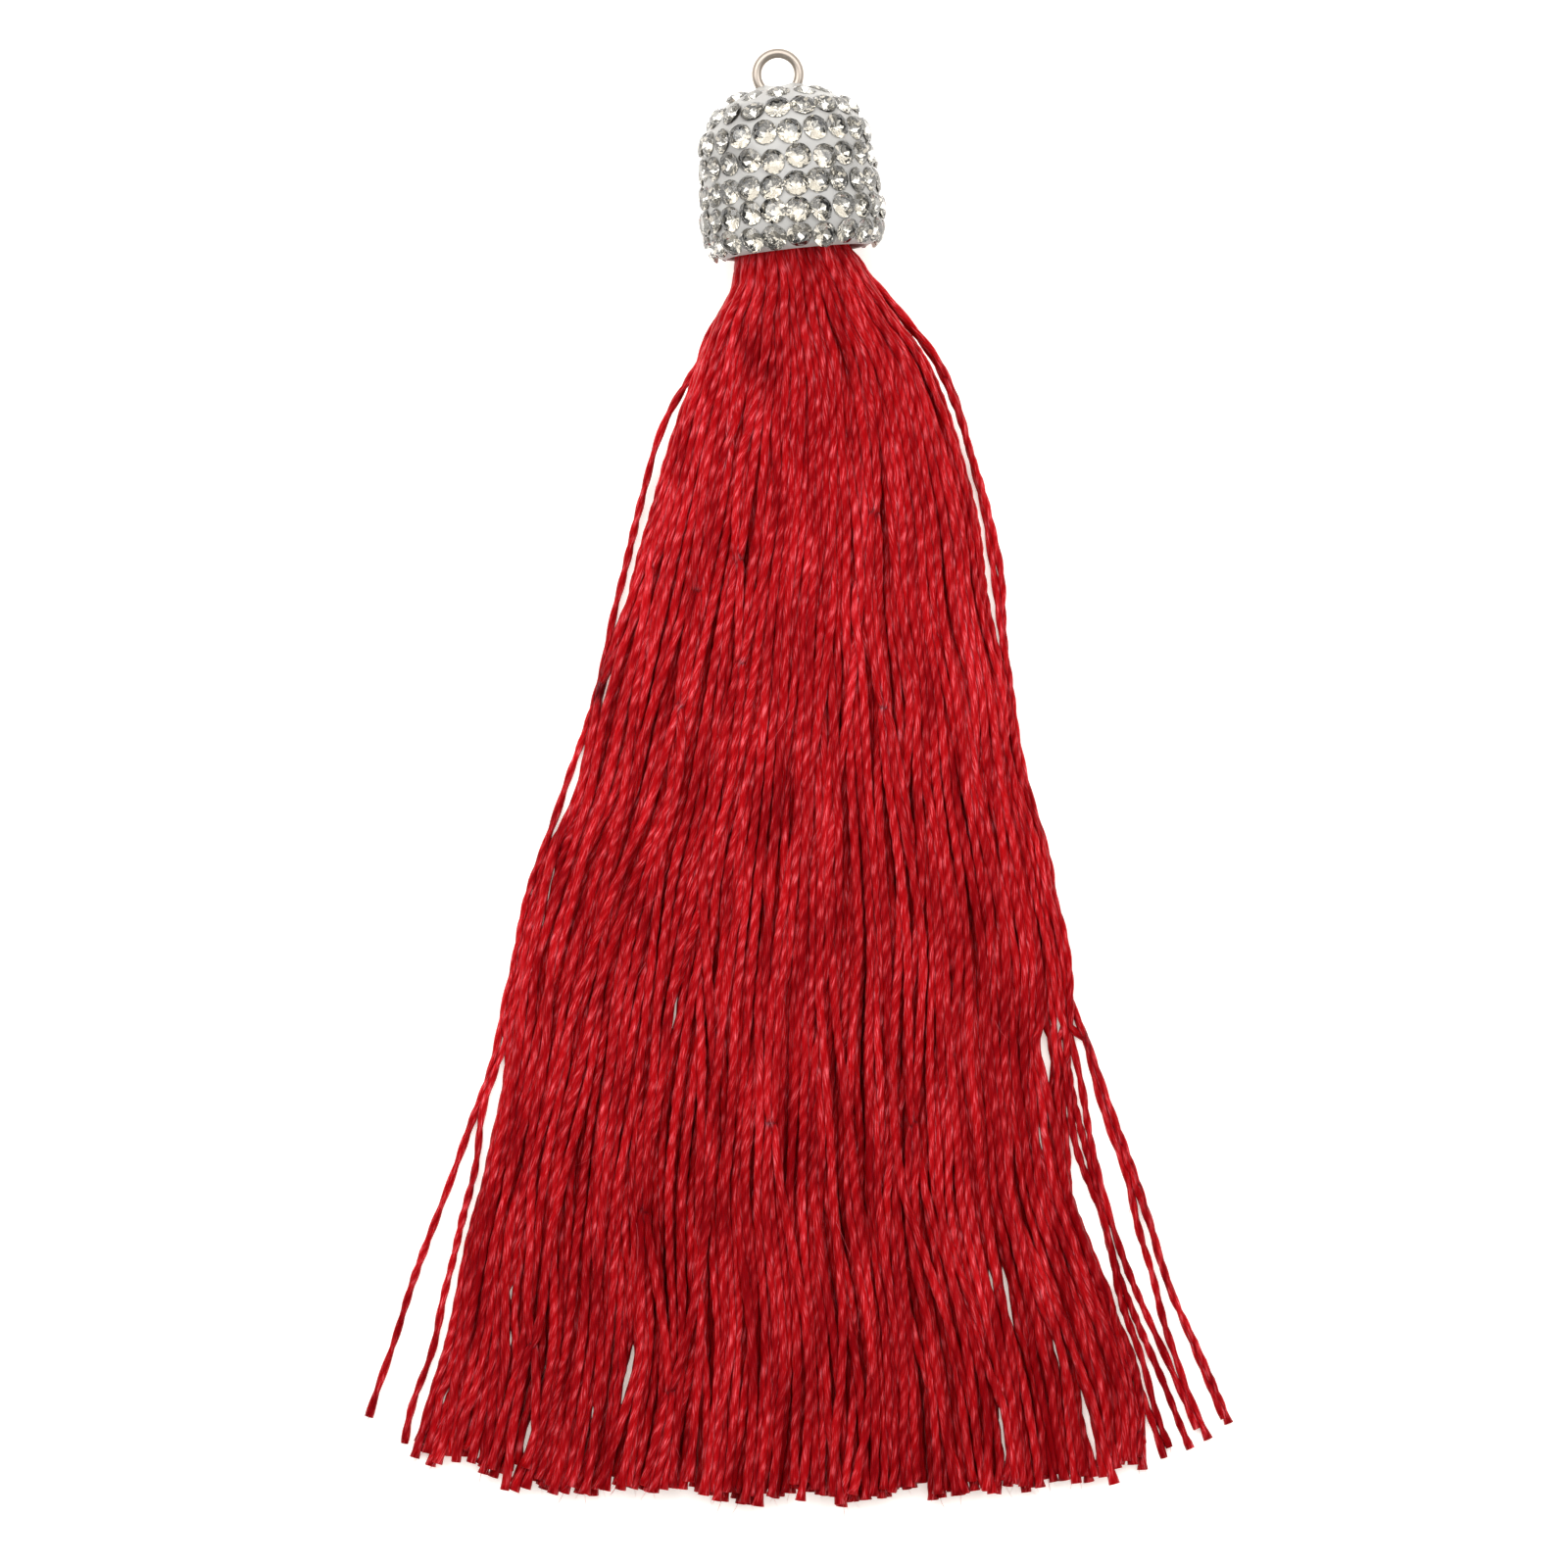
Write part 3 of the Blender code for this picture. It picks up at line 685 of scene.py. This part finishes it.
def settle_finely(places, down, straying, fan, edge, high):
    """The second settling: threads move apart, straighten a little, close gaps and leave the slits open."""
    noise = np.random.default_rng(23)
    lined = places[:, :, 0].copy()
    rooms = slit_rooms(places, down, straying)
    for step in range(FINE_PASSES):
        if step % PAIRS_KEPT == 0:
            pairs = near_pairs(places)
        places += FINE_EASING * pushes(places, pairs, CLOSEST, noise)
        bend = places[:-2] + places[2:] - 2 * places[1:-1]
        places[1:-1] += STIFFNESS * bend
        close_gaps(places, straying)
        places[straying, 0] = lined[straying]
        open_slits(places, rooms)
        hold_in_fan(places, straying, fan, edge, high)


def fine_places():
    """(levels, threads, 2) and the levels' depths: the settled lay with its bends, crossings and slits."""
    flat, cut, strays, order = thread_places()
    knots = np.array([section.down for section in SECTIONS])
    levels = int((knots[-1] - knots[0]) / FINE_STEP)
    down = np.linspace(knots[0], knots[-1], levels)
    x = smooth_curve(knots, flat[:, :, 0], down)
    z = smooth_curve(knots, flat[:, :, 1], down)
    straying = smooth_curve(knots, (~np.isnan(strays)).astype(float), down) > STRAY_ENOUGH
    edge, high = smooth_curve(knots, np.array([(s.edge, s.high) for s in SECTIONS]), down).T
    edges = np.array(FAN_EDGES, dtype=float)
    fan = smooth_curve(edges[:, 0], edges[:, 1:3], down).T
    outer_strays(x, straying, down, order, edges)
    rank = np.empty(THREADS)
    rank[order] = np.linspace(-1, 1, THREADS)
    sideways, upward = own_bends(down, rank)
    drift, lift = wandering(down, flat[-1, :, 1])
    sideways += drift
    upward += lift
    places = np.stack([filled(x, straying, *fan) + sideways, z + upward], axis=-1)
    settle_finely(places, down, straying, fan, edge, high)
    places[:, :, 0] = filled(places[:, :, 0], straying, *fan)
    return places, down, cut, order


def ply_reach(turned, groove):
    """How far a thread's outside is from its middle, at an angle from the line through its two plies."""
    return groove + (THREAD_REACH - groove) * np.abs(np.cos(turned))


def twisted_thread(points, in_fan, rng):
    """The rings of one twisted thread along its middle line, how far along each lies, and its twist there."""
    tangent = np.gradient(points, axis=0)
    tangent /= np.linalg.norm(tangent, axis=1)[:, None]
    run = np.concatenate([[0], np.cumsum(np.linalg.norm(np.diff(points, axis=0), axis=1))])
    side = np.cross(tangent, (0, 0, 1))
    side /= np.linalg.norm(side, axis=1)[:, None]
    up = np.cross(side, tangent)
    twist = math.tau * run / TWIST_PITCH * rng.uniform(*TWIST_VARIES) + rng.uniform(0, math.tau)
    twist += TWIST_SLACK * np.sin(run * rng.uniform(*SLACK_WAVES) + rng.uniform(0, math.tau))
    spread = 1 + END_SPREAD * np.clip(1 - (run[-1] - run) / END_SPREAD_LENGTH, 0, 1) ** 2
    plump = 1 + PLUMPER * np.sin(run * rng.uniform(*PLUMP_WAVES) + rng.uniform(0, math.tau))
    around = np.arange(THREAD_SIDES) * math.tau / THREAD_SIDES
    flat, size, groove = STRAY_FLAT, 1, STRAY_GROOVE
    if in_fan:
        flat, size, groove = PRESSED_FLAT, PRESSED_SIZE, FAN_GROOVE
    reach = ply_reach(around - twist[:, None], groove) * (spread * plump * size)[:, None]
    across = reach * np.cos(around) * flat
    upward = reach * np.sin(around)
    rings = points[:, None] - across[..., None] * side[:, None] + upward[..., None] * up[:, None]
    rings[..., 2] = np.maximum(rings[..., 2], 0)
    return rings, run, twist


def cap_place():
    """The cap's own frame: its Z runs up its axis to the ring, and its Y down to the surface."""
    turned = Matrix.Rotation(CAP_LEAN, 4, "Z") @ Matrix.Rotation(math.radians(-90), 4, "X")
    return Matrix.Translation((0, 0, AXIS_HEIGHT * MM)) @ turned


def middle_lines():
    """Each thread's middle line, from inside the cap's mouth to its cut end, and whether it is in the fan."""
    places, down, cut, order = fine_places()
    up_axis = np.array(cap_place().to_3x3() @ Vector((0, 0, 1)))
    ring_step = TWIST_PITCH / RINGS_PER_TURN
    tops = down[0] - (places[0, :, 0] - ROOTS_ACROSS) * math.tan(CAP_LEAN)
    fan = range(len(LEFT_STRAYS), THREADS - len(RIGHT_STRAYS))
    for place, thread in enumerate(order):
        count = int((cut[thread] - tops[thread]) / ring_step) + 1
        at = np.linspace(down[0], cut[thread], count)
        x, z = smooth_curve(down, places[:, thread], at).T
        leaned = at + (tops[thread] - down[0]) * np.clip(1 - (at - down[0]) / LEAN_LOST, 0, 1)
        line = np.stack([x, -leaned, z], axis=-1)
        root = line[0] + up_axis * np.linspace(ROOT_INSIDE, ring_step, ROOT_RINGS)[:, None]
        yield np.vstack([root, line]), place in fan


def thread_bundle(name, lines, rng, material):
    """One piece of the skirt: twisted threads side by side, each closed at both ends."""
    points, quads, tones, alongs, bake_strips = [], [], [], [], []
    sides = THREAD_SIDES
    around = np.arange(sides + 1) / sides
    first = 0
    for strip, (line, in_fan) in enumerate(lines):
        rings, run, twist = twisted_thread(line, in_fan, rng)
        count = len(rings)
        grid = first + np.arange(count * sides).reshape(count, sides)
        walls = corners(np.hstack([grid, grid[:, :1]]))
        # Three faces of four corners close each end, which has eight.
        ends = [(ring[0], ring[1 + cut], ring[2 + cut], ring[3 + cut])
                for ring in (grid[0][::-1], grid[-1]) for cut in (0, 2, 4)]
        quads.append(np.vstack([walls, ends]))
        points.append(rings.reshape(-1, 3))
        tones.append(np.full(count * sides, rng.uniform(0, 1)))
        run_v = np.broadcast_to(run[:, None], (count, sides + 1))
        ply_u = around - twist[:, None] / math.tau
        end_uv = np.zeros((4 * len(ends), 2))
        along = np.stack([corners(ply_u), corners(run_v) + strip * THREAD_LONGEST], axis=-1)
        alongs.append(np.vstack([along.reshape(-1, 2), end_uv]))
        strip_u = BAKE_SIDE_GAP + (1 - 2 * BAKE_SIDE_GAP) * np.broadcast_to(around, (count, sides + 1))
        strip_v = BAKE_END_GAP + (1 - 2 * BAKE_END_GAP) * run_v / THREAD_LONGEST
        bake = np.stack([corners(strip + strip_u) / len(lines), corners(strip_v)], axis=-1)
        end_uv = end_uv + ((strip + 0.5) / len(lines), BAKE_END_GAP)
        bake_strips.append(np.vstack([bake.reshape(-1, 2), end_uv]))
        first += count * sides
    mesh_data = mesh_from(name, np.vstack(points) * MM, np.vstack(quads))
    tone = mesh_data.attributes.new("tone", "FLOAT", "POINT")
    tone.data.foreach_set("value", np.concatenate(tones).astype(np.float32))
    for layer, places in (("along", alongs), ("OFBake", bake_strips)):
        uv_layer = mesh_data.uv_layers.new(name=layer)
        uv_layer.data.foreach_set("uv", np.vstack(places).astype(np.float32).ravel())
    put_in_scene(name, mesh_data, [material], "thread_skirt")


def rayon_thread():
    """Twisted bright rayon: a soft deep red with painted shade and painted highlights, where short stretches
    of each ply are painted as thin pale dashes of light.
    """
    material = new_material("twisted bright rayon thread")
    along = add_node(material, "UVMap", {"uv_map": "along"}).outputs["UV"]
    unrolled = add_node(material, "SeparateXYZ", Vector=along).outputs
    turned = add_node(material, "Math", {"operation": "MULTIPLY", 1: math.tau}, input_0=unrolled["X"])
    wave = add_node(material, "Math", {"operation": "COSINE"}, input_0=turned.outputs["Value"])
    ridge = add_node(material, "Math", {"operation": "ABSOLUTE"}, input_0=wave.outputs["Value"])
    ridge = ridge.outputs["Value"]

    # Filaments run along each ply. Single ones are too fine to show, so they are drawn in coarser strands.
    untwisted = add_node(
        material, "Math", {"operation": "MULTIPLY_ADD", 1: FILAMENT_TWIST / TWIST_PITCH},
        input_0=unrolled["Y"], input_2=unrolled["X"],
    )
    lengthwise = add_node(material, "CombineXYZ", X=untwisted.outputs["Value"], Y=unrolled["Y"])
    lengthwise = lengthwise.outputs["Vector"]
    drawn = add_node(material, "Mapping", {"Scale": (STRANDS_ROUND, STRANDS_PER_MM, 1.0)}, Vector=lengthwise)
    strands = add_node(
        material, "TexNoise", {"Scale": 1.0, "Detail": 3.0, "Roughness": 0.6}, Vector=drawn.outputs["Vector"],
    ).outputs["Fac"]

    # The red is paler on the crests, as painted highlight, here and there in patches, as painted shade and
    # light, on some threads, as their own tone, and towards the cap, as painted light that falls off towards
    # the cut.
    place = add_node(material, "TexCoord").outputs["Object"]
    # Painted shade and light in long patches.
    patches = add_node(material, "Mapping", {"Scale": PAINTED_SHADE_SCALE}, Vector=place)
    painted_pockets = add_node(material, "TexNoise", {"Scale": 1.0, "Detail": 2.0}, Vector=patches.outputs["Vector"])
    tone = add_node(material, "Attribute", {"attribute_name": "tone"})
    shade = painted_pockets.outputs["Fac"]
    # A crest adds painted highlight; a strand pales the red as its own filaments do and in part as painted
    # sheen; a thread's tone is its own.
    for source, paler in ((ridge, RIDGE_PAINTED_LIGHT), (strands, STRAND_TONE_AND_SHEEN), (tone.outputs["Fac"], THREAD_PALER)):
        shade = add_node(
            material, "Math", {"operation": "MULTIPLY_ADD", 1: paler}, input_0=source, input_2=shade,
        ).outputs["Value"]
    # Painted shade: the red deepens from NECK_DOWN to the cut, as though less light reached it there.
    down = add_node(material, "SeparateXYZ", Vector=place).outputs["Y"]
    painted_falloff = add_node(
        material, "MapRange",
        {"From Min": -SECTIONS[-1].down * MM, "From Max": -NECK_DOWN * MM,
         "To Min": CUT_PAINTED_SHADE, "To Max": NECK_PAINTED_LIGHT},
        Value=down,
    )
    shade = add_node(material, "Math", {"operation": "ADD"}, input_0=shade, input_1=painted_falloff.outputs["Result"])
    spread = add_node(
        material, "MapRange", {"From Min": SHADE_LOW, "From Max": SHADE_HIGH}, Value=shade.outputs["Value"],
    ).outputs["Result"]
    red = add_node(material, "ValToRGB", stops=THREAD_REDS, Fac=spread)

    # Painted highlight: where a strand comes up on a crest, it is painted pale pink as a short dash.
    painted_flecks = add_node(
        material, "MapRange", {"From Min": PAINTED_DASH_FROM, "From Max": PAINTED_DASH_FULL, "To Max": PAINTED_DASH_STRENGTH},
        Value=strands,
    )
    painted_crest = add_node(material, "Math", {"operation": "POWER", 1: PAINTED_DASH_NARROW}, input_0=ridge)
    painted_dash = painted_crest.outputs["Value"]
    for source in (painted_flecks.outputs["Result"], spread):
        painted_dash = add_node(
            material, "Math", {"operation": "MULTIPLY"}, input_0=painted_dash, input_1=source,
        ).outputs["Value"]
    colour = add_node(
        material, "Mix", {"data_type": "RGBA", 7: hex_colour(PAINTED_DASH_PINK)},
        input_0=painted_dash, input_6=red.outputs["Color"],
    ).outputs[2]
    height = add_node(
        material, "Math", {"operation": "MULTIPLY_ADD", 1: STRAND_HEIGHT}, input_0=strands, input_2=ridge,
    ).outputs["Value"]
    bump = add_node(material, "Bump", {"Strength": 0.35, "Distance": 0.05 * MM}, Height=height)
    shader = add_node(
        material, "BsdfPrincipled",
        {"Roughness": 0.42, "IOR": 1.45, "Specular IOR Level": 0.12, "Specular Tint": hex_colour("#FF5860"),
         "Subsurface Weight": 0.8, "Subsurface Radius": (1.0, 0.06, 0.05), "Subsurface Scale": 0.6 * MM},
        Base_Color=colour, Normal=bump.outputs["Normal"],
    )
    return finish_material(material, shader)


def loose_fibre(start, along, length, rng):
    """The points of one fine tube that leaves a thread and curls a little, thinner towards its free end."""
    share = np.linspace(0, 1, FIBRE_RINGS)[:, None]
    up = np.array((0, 0, 1))
    side = np.cross(along, up)
    aside = side * rng.uniform(-FIBRE_ASIDE, FIBRE_ASIDE) + up * rng.uniform(0, FIBRE_LIFT)
    curl = rng.normal(0, FIBRE_CURL, 3)
    path = start + length * (share * (along + aside) + share**2 * curl)
    path[:, 2] = np.maximum(path[:, 2], FIBRE_RADIUS)
    angle = np.arange(FIBRE_SIDES) * math.tau / FIBRE_SIDES
    round_it = np.cos(angle)[:, None] * side + np.sin(angle)[:, None] * up
    return path[:, None] + round_it * (FIBRE_RADIUS * (1 - FIBRE_TAPER * share))[:, None]


def loose_filament():
    """A single bright rayon filament, paler than the thread because the light comes through it."""
    material = new_material("loose rayon filament")
    place = add_node(material, "TexCoord").outputs["Object"]
    along = add_node(material, "TexNoise", {"Scale": 1 / (FIBRE_SHADES * MM)}, Vector=place)
    colour = add_node(material, "ValToRGB", stops=FIBRE_REDS, Fac=along.outputs["Fac"])
    shader = add_node(
        material, "BsdfPrincipled", {"Roughness": 0.35, "IOR": 1.5}, Base_Color=colour.outputs["Color"],
    )
    return finish_material(material, shader)


def make_loose_fibres(lines):
    """Filaments that have worked loose, some at the cut ends and some along the threads."""
    rng = np.random.default_rng(53)
    fibres = []
    for thread in rng.choice(len(lines), CUT_FIBRES, replace=False):
        line = lines[thread][0]
        along = (line[-1] - line[-3]) / np.linalg.norm(line[-1] - line[-3])
        offset = (rng.uniform(-FIBRE_OFFSET, FIBRE_OFFSET), 0, rng.uniform(FIBRE_LOW, FIBRE_HIGH))
        fibres.append(loose_fibre(line[-2] + offset, along, rng.uniform(*CUT_FIBRE_LENGTHS), rng))
    for thread in rng.choice(len(lines), SIDE_FIBRES, replace=False):
        line = lines[thread][0]
        at = rng.integers(len(line) // FIBRES_FROM, len(line) - 4)
        along = (line[at + 2] - line[at]) / np.linalg.norm(line[at + 2] - line[at])
        top = line[at] + (0, 0, FIBRE_OFFSET)
        fibres.append(loose_fibre(top, along, rng.uniform(*SIDE_FIBRE_LENGTHS), rng))
    quads = []
    for first in range(0, len(fibres) * FIBRE_RINGS * FIBRE_SIDES, FIBRE_RINGS * FIBRE_SIDES):
        grid = first + np.arange(FIBRE_RINGS * FIBRE_SIDES).reshape(FIBRE_RINGS, FIBRE_SIDES)
        walls = corners(np.hstack([grid, grid[:, :1]]))
        quads.append(np.vstack([walls, grid[0][None, ::-1], grid[-1][None]]))
    mesh_data = mesh_from("loose_fibres", np.vstack(fibres).reshape(-1, 3) * MM, np.vstack(quads))
    put_in_scene("loose_fibres", mesh_data, [loose_filament()], "thread_skirt")


def make_threads():
    """The skirt of twisted threads, in pieces of 44, and the loose filaments on it."""
    rng = np.random.default_rng(29)
    material = rayon_thread()
    lines = list(middle_lines())
    for piece, start in enumerate(range(0, THREADS, THREADS_PER_PIECE)):
        thread_bundle(f"threads_{piece + 1}", lines[start:start + THREADS_PER_PIECE], rng, material)
    make_loose_fibres(lines)


# The cap: its clay, its stones and its ring.
def cap_radius(depth):
    """The clay's radius at a depth below the dome's top: a full dome, a slight flare, and a drawn-in base."""
    if depth < DOME_DEPTH:
        rise = 1 - depth / DOME_DEPTH
        return DOME_RADIUS * (1 - rise**DOME_FULLNESS) ** (1 / DOME_FULLNESS)
    if depth < BELLY_DEPTH:
        share = (depth - DOME_DEPTH) / (BELLY_DEPTH - DOME_DEPTH)
        return DOME_RADIUS + share * (BELLY_RADIUS - DOME_RADIUS)
    share = (depth - BELLY_DEPTH) / (RIM_DEPTH - BELLY_DEPTH)
    return RIM_RADIUS + (BELLY_RADIUS - RIM_RADIUS) * math.sqrt(max(1 - share**2, 0))


def stone_places():
    """Each stone's middle on the clay and its way out, in the cap's own frame, in millimetres."""
    rng = random.Random(5)
    for row in STONE_ROWS:
        slope = (cap_radius(row.depth + NUDGE) - cap_radius(row.depth - NUDGE)) / (2 * NUDGE)
        outward = Vector((1, 0, slope)).normalized()
        for stone in range(row.stones):
            angle = math.radians(row.turn) + math.tau * (stone / row.stones - 0.25)
            angle += rng.uniform(-1, 1) * STONE_WANDER / cap_radius(row.depth)
            depth = row.depth + rng.uniform(-1, 1) * ROW_WANDER
            round_axis = Matrix.Rotation(angle, 4, "Z")
            middle = Vector((cap_radius(row.depth), 0, APEX_ABOVE_ORIGIN - depth))
            if row is STONE_ROWS[0]:
                middle -= outward * TOP_ROW_SUNK
            yield round_axis @ middle, (round_axis @ outward).normalized()


def seated(middle, outward):
    """A stone's middle, pressed further in where the stone would reach under the surface."""
    lowest = AXIS_HEIGHT - middle.y - STONE_CROWN * outward.y
    if lowest > 0:
        return middle
    return middle + outward * (lowest / max(outward.y, STEEPEST))


def brilliant(radius, turn, place, points, faces, kinds):
    """Adds one round brilliant stone: table, stars, kites and halves over a pointed pavilion."""
    table, star = STONE_TABLE * radius, STONE_STAR * radius
    star_height = STONE_CROWN * (radius - star * math.cos(EIGHTH / 2)) / (radius - table)
    low = STONE_LOWER * radius
    low_height = -STONE_PAVILION * (radius - low * math.cos(EIGHTH / 2)) / radius

    def circle(count, reach, height, start):
        first = len(points)
        for corner in range(count):
            angle = turn + start + math.tau * corner / count
            points.append(place @ Vector((reach * math.cos(angle), reach * math.sin(angle), height)))
        return [first + corner for corner in range(count)]

    tables = circle(8, table, STONE_CROWN, 0)
    stars = circle(8, star, star_height, EIGHTH / 2)
    mains = circle(8, radius, 0, 0)
    halves = circle(8, radius, -GIRDLE_WAVE, EIGHTH / 2)
    lows = circle(8, low, low_height, EIGHTH / 2)
    culet = circle(1, 0, -STONE_PAVILION, 0)[0]
    crown = [tables]
    pavilion = []
    for k in range(8):
        after = (k + 1) % 8
        before = k - 1
        main, half, following = mains[k], halves[k], mains[after]
        crown.append([tables[k], stars[k], tables[after]])
        crown.append([tables[k], stars[before], main, stars[k]])
        crown.append([stars[k], main, half])
        crown.append([stars[k], half, following])
        pavilion.append([culet, lows[k], main, lows[before]])
        pavilion.append([lows[k], half, main])
        pavilion.append([lows[k], following, half])
    faces += crown + pavilion
    kinds += [0] * len(crown) + [1] * len(pavilion)


def make_stones():
    """The cut stones, each turned and tipped a little in its seat, with glass above and foil below."""
    turns = random.Random(31)
    points, faces, kinds = [], [], []
    for middle, outward in stone_places():
        tip = Vector((turns.gauss(0, 1), turns.gauss(0, 1), turns.gauss(0, 1))) * STONE_TIP
        tipped = (outward + tip).normalized().to_track_quat("Z", "Y").to_matrix().to_4x4()
        place = Matrix.Translation(seated(middle + outward * STONE_PROUD, outward)) @ tipped
        brilliant(CUT_WIDTH / 2, turns.uniform(0, EIGHTH), place, points, faces, kinds)
    mesh_data = bpy.data.meshes.new("cut_stones")
    mesh_data.from_pydata([point * MM for point in points], [], faces)
    mesh_data.polygons.foreach_set("material_index", kinds)
    mesh_data.transform(cap_place())
    keep_above_surface(mesh_data)
    put_in_scene("cut_stones", mesh_data, [cut_glass(), stone_foil()], "stone_cap")


def cut_glass():
    """Machine-cut crystal glass, polished: clear, with sharp bright facets."""
    material = new_material("machine-cut crystal glass")
    shader = add_node(
        material, "BsdfPrincipled",
        {"Base Color": hex_colour("#FDFDFA"), "Roughness": 0.0, "IOR": 1.58, "Transmission Weight": 1.0},
    )
    return finish_material(material, shader)


def stone_foil():
    """Silver foiling under lacquer, below each stone: it throws the light back, slightly yellowed."""
    material = new_material("silver foiling under lacquer")
    shader = add_node(
        material, "BsdfPrincipled", {"Base Color": hex_colour("#C4C0B9"), "Roughness": 0.06, "Metallic": 1.0},
    )
    return finish_material(material, shader)


def polymer_clay():
    """Baked polymer clay, smoothed by hand: pale and matt with a faint gloss, and a fine grain."""
    material = new_material("smoothed polymer clay")
    place = add_node(material, "TexCoord").outputs["Object"]
    grain = add_node(material, "TexNoise", {"Scale": 1 / (CLAY_GRAIN * MM), "Detail": 3.0}, Vector=place)
    cloud = add_node(material, "TexNoise", {"Scale": 1 / (CLAY_CLOUD * MM), "Detail": 2.0}, Vector=place)
    colour = add_node(material, "ValToRGB", stops=CLAY_GREYS, Fac=cloud.outputs["Fac"])
    bump = add_node(material, "Bump", {"Strength": 0.25, "Distance": 0.03 * MM}, Height=grain.outputs["Fac"])
    shader = add_node(
        material, "BsdfPrincipled",
        {"Roughness": 0.46, "IOR": 1.5, "Subsurface Weight": 0.15, "Subsurface Radius": (1, 0.9, 0.8),
         "Subsurface Scale": 0.6 * MM},
        Base_Color=colour.outputs["Color"], Normal=bump.outputs["Normal"],
    )
    return finish_material(material, shader)


def clay_outline():
    """(radius, depth) down the outside of the clay, round its lip and up into its mouth, in even steps."""
    depths = APEX_DEPTHS + list(np.arange(EVEN_FROM, RIM_DEPTH - 0.01, CLAY_STEP)) + [RIM_DEPTH]
    outside = [(cap_radius(depth), depth) for depth in depths]
    lip = [(RIM_RADIUS - LIP_OUTSIDE, LIP_DEPTH), (MOUTH_RADIUS + LIP_INSIDE, LIP_DEPTH)]
    inside = [(MOUTH_RADIUS, RIM_DEPTH - LIP_INSIDE), (MOUTH_RADIUS, RIM_DEPTH - MOUTH_DEPTH)]
    return np.array(outside + lip + inside)


def turned_round(radius, height):
    """A profile turned round the cap's axis, as a grid of places with a row for each of the profile's."""
    angle = np.arange(CLAY_ROUND) * math.tau / CLAY_ROUND
    across = radius[:, None] * np.cos(angle)
    along = radius[:, None] * np.sin(angle)
    return np.stack([across, along, np.broadcast_to(height[:, None], across.shape)], axis=-1)


def clay_relief(points):
    """How far the clay stands out at each place: pressed in under the stones, and drawn up round the ring."""
    relief = np.zeros(points.shape[:2])
    for middle, outward in stone_places():
        away = np.linalg.norm(points - np.array(seated(middle, outward)), axis=-1)
        relief = np.minimum(relief, -PRESSED_IN * np.clip((SEAT_RADIUS - away) / SEAT_SLOPE, 0, 1))
    off = points - np.array((0, 0, RING_HEIGHT))
    from_wire = np.hypot(np.hypot(off[..., 0], off[..., 2]) - RING_MIDDLE_RADIUS, off[..., 1])
    return relief + COLLAR_RISE * np.exp(-((from_wire / COLLAR_WIDTH) ** 2))


def make_clay():
    """The clay body, pressed in under each stone, with a collar of clay where the ring goes in."""
    radius, depth = clay_outline().T
    height = APEX_ABOVE_ORIGIN - depth
    run_in, run_down = np.gradient(radius), -np.gradient(height)
    length = np.hypot(run_in, run_down)
    points = turned_round(radius, height)
    points = points + turned_round(run_down / length, run_in / length) * clay_relief(points)[..., None]
    grid = np.arange(points.shape[0] * CLAY_ROUND).reshape(-1, CLAY_ROUND)
    beside = np.roll(grid, -1, axis=1)
    quads = np.stack([grid[:-1], grid[1:], beside[1:], beside[:-1]], axis=-1).reshape(-1, 4)
    mesh_data = mesh_from("clay_cap", points.reshape(-1, 3) * MM, quads)
    closing = bmesh.new()
    closing.from_mesh(mesh_data)
    closing.verts.ensure_lookup_table()
    for ring in (grid[0], grid[-1][::-1]):
        end_face = closing.faces.new([closing.verts[int(index)] for index in ring])
        end_face.smooth = False
    closing.to_mesh(mesh_data)
    closing.free()
    mesh_data.transform(cap_place())
    keep_above_surface(mesh_data)
    put_in_scene("clay_cap", mesh_data, [polymer_clay()], "stone_cap")


def nickel_wire():
    """Nickel-plated round wire, drawn and worn: a warm grey sheen, brighter and duller in small marks."""
    material = new_material("nickel-plated drawn wire")
    place = add_node(material, "TexCoord").outputs["Object"]
    marks = add_node(material, "TexNoise", {"Scale": 1 / (WIRE_MARKS * MM), "Detail": 4.0}, Vector=place)
    rough = add_node(material, "MapRange", {"To Min": 0.28, "To Max": 0.4}, Value=marks.outputs["Fac"])
    shader = add_node(
        material, "BsdfPrincipled", {"Base Color": hex_colour("#9F958B"), "Metallic": 1.0},
        Roughness=rough.outputs["Result"],
    )
    return finish_material(material, shader)


def make_ring():
    """The plain wire ring, which stands in the top of the cap with its lower part inside the clay."""
    bpy.ops.mesh.primitive_torus_add(
        major_segments=RING_ROUND,
        minor_segments=WIRE_ROUND,
        major_radius=RING_MIDDLE_RADIUS * MM,
        minor_radius=WIRE_RADIUS * MM,
    )
    ring = bpy.context.object
    ring.name = "wire_ring"
    upright = Matrix.Rotation(math.radians(90), 4, "X")
    ring.data.transform(cap_place() @ Matrix.Translation((0, 0, RING_HEIGHT * MM)) @ upright)
    ring.data.shade_smooth()
    ring.data.materials.append(nickel_wire())
    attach(ring, BODY)
    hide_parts("jump_ring")


def main():
    """Makes the scene."""
    set_camera()
    set_lights()
    lay_floor()
    make_threads()
    make_clay()
    make_stones()
    make_ring()
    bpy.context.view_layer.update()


main()
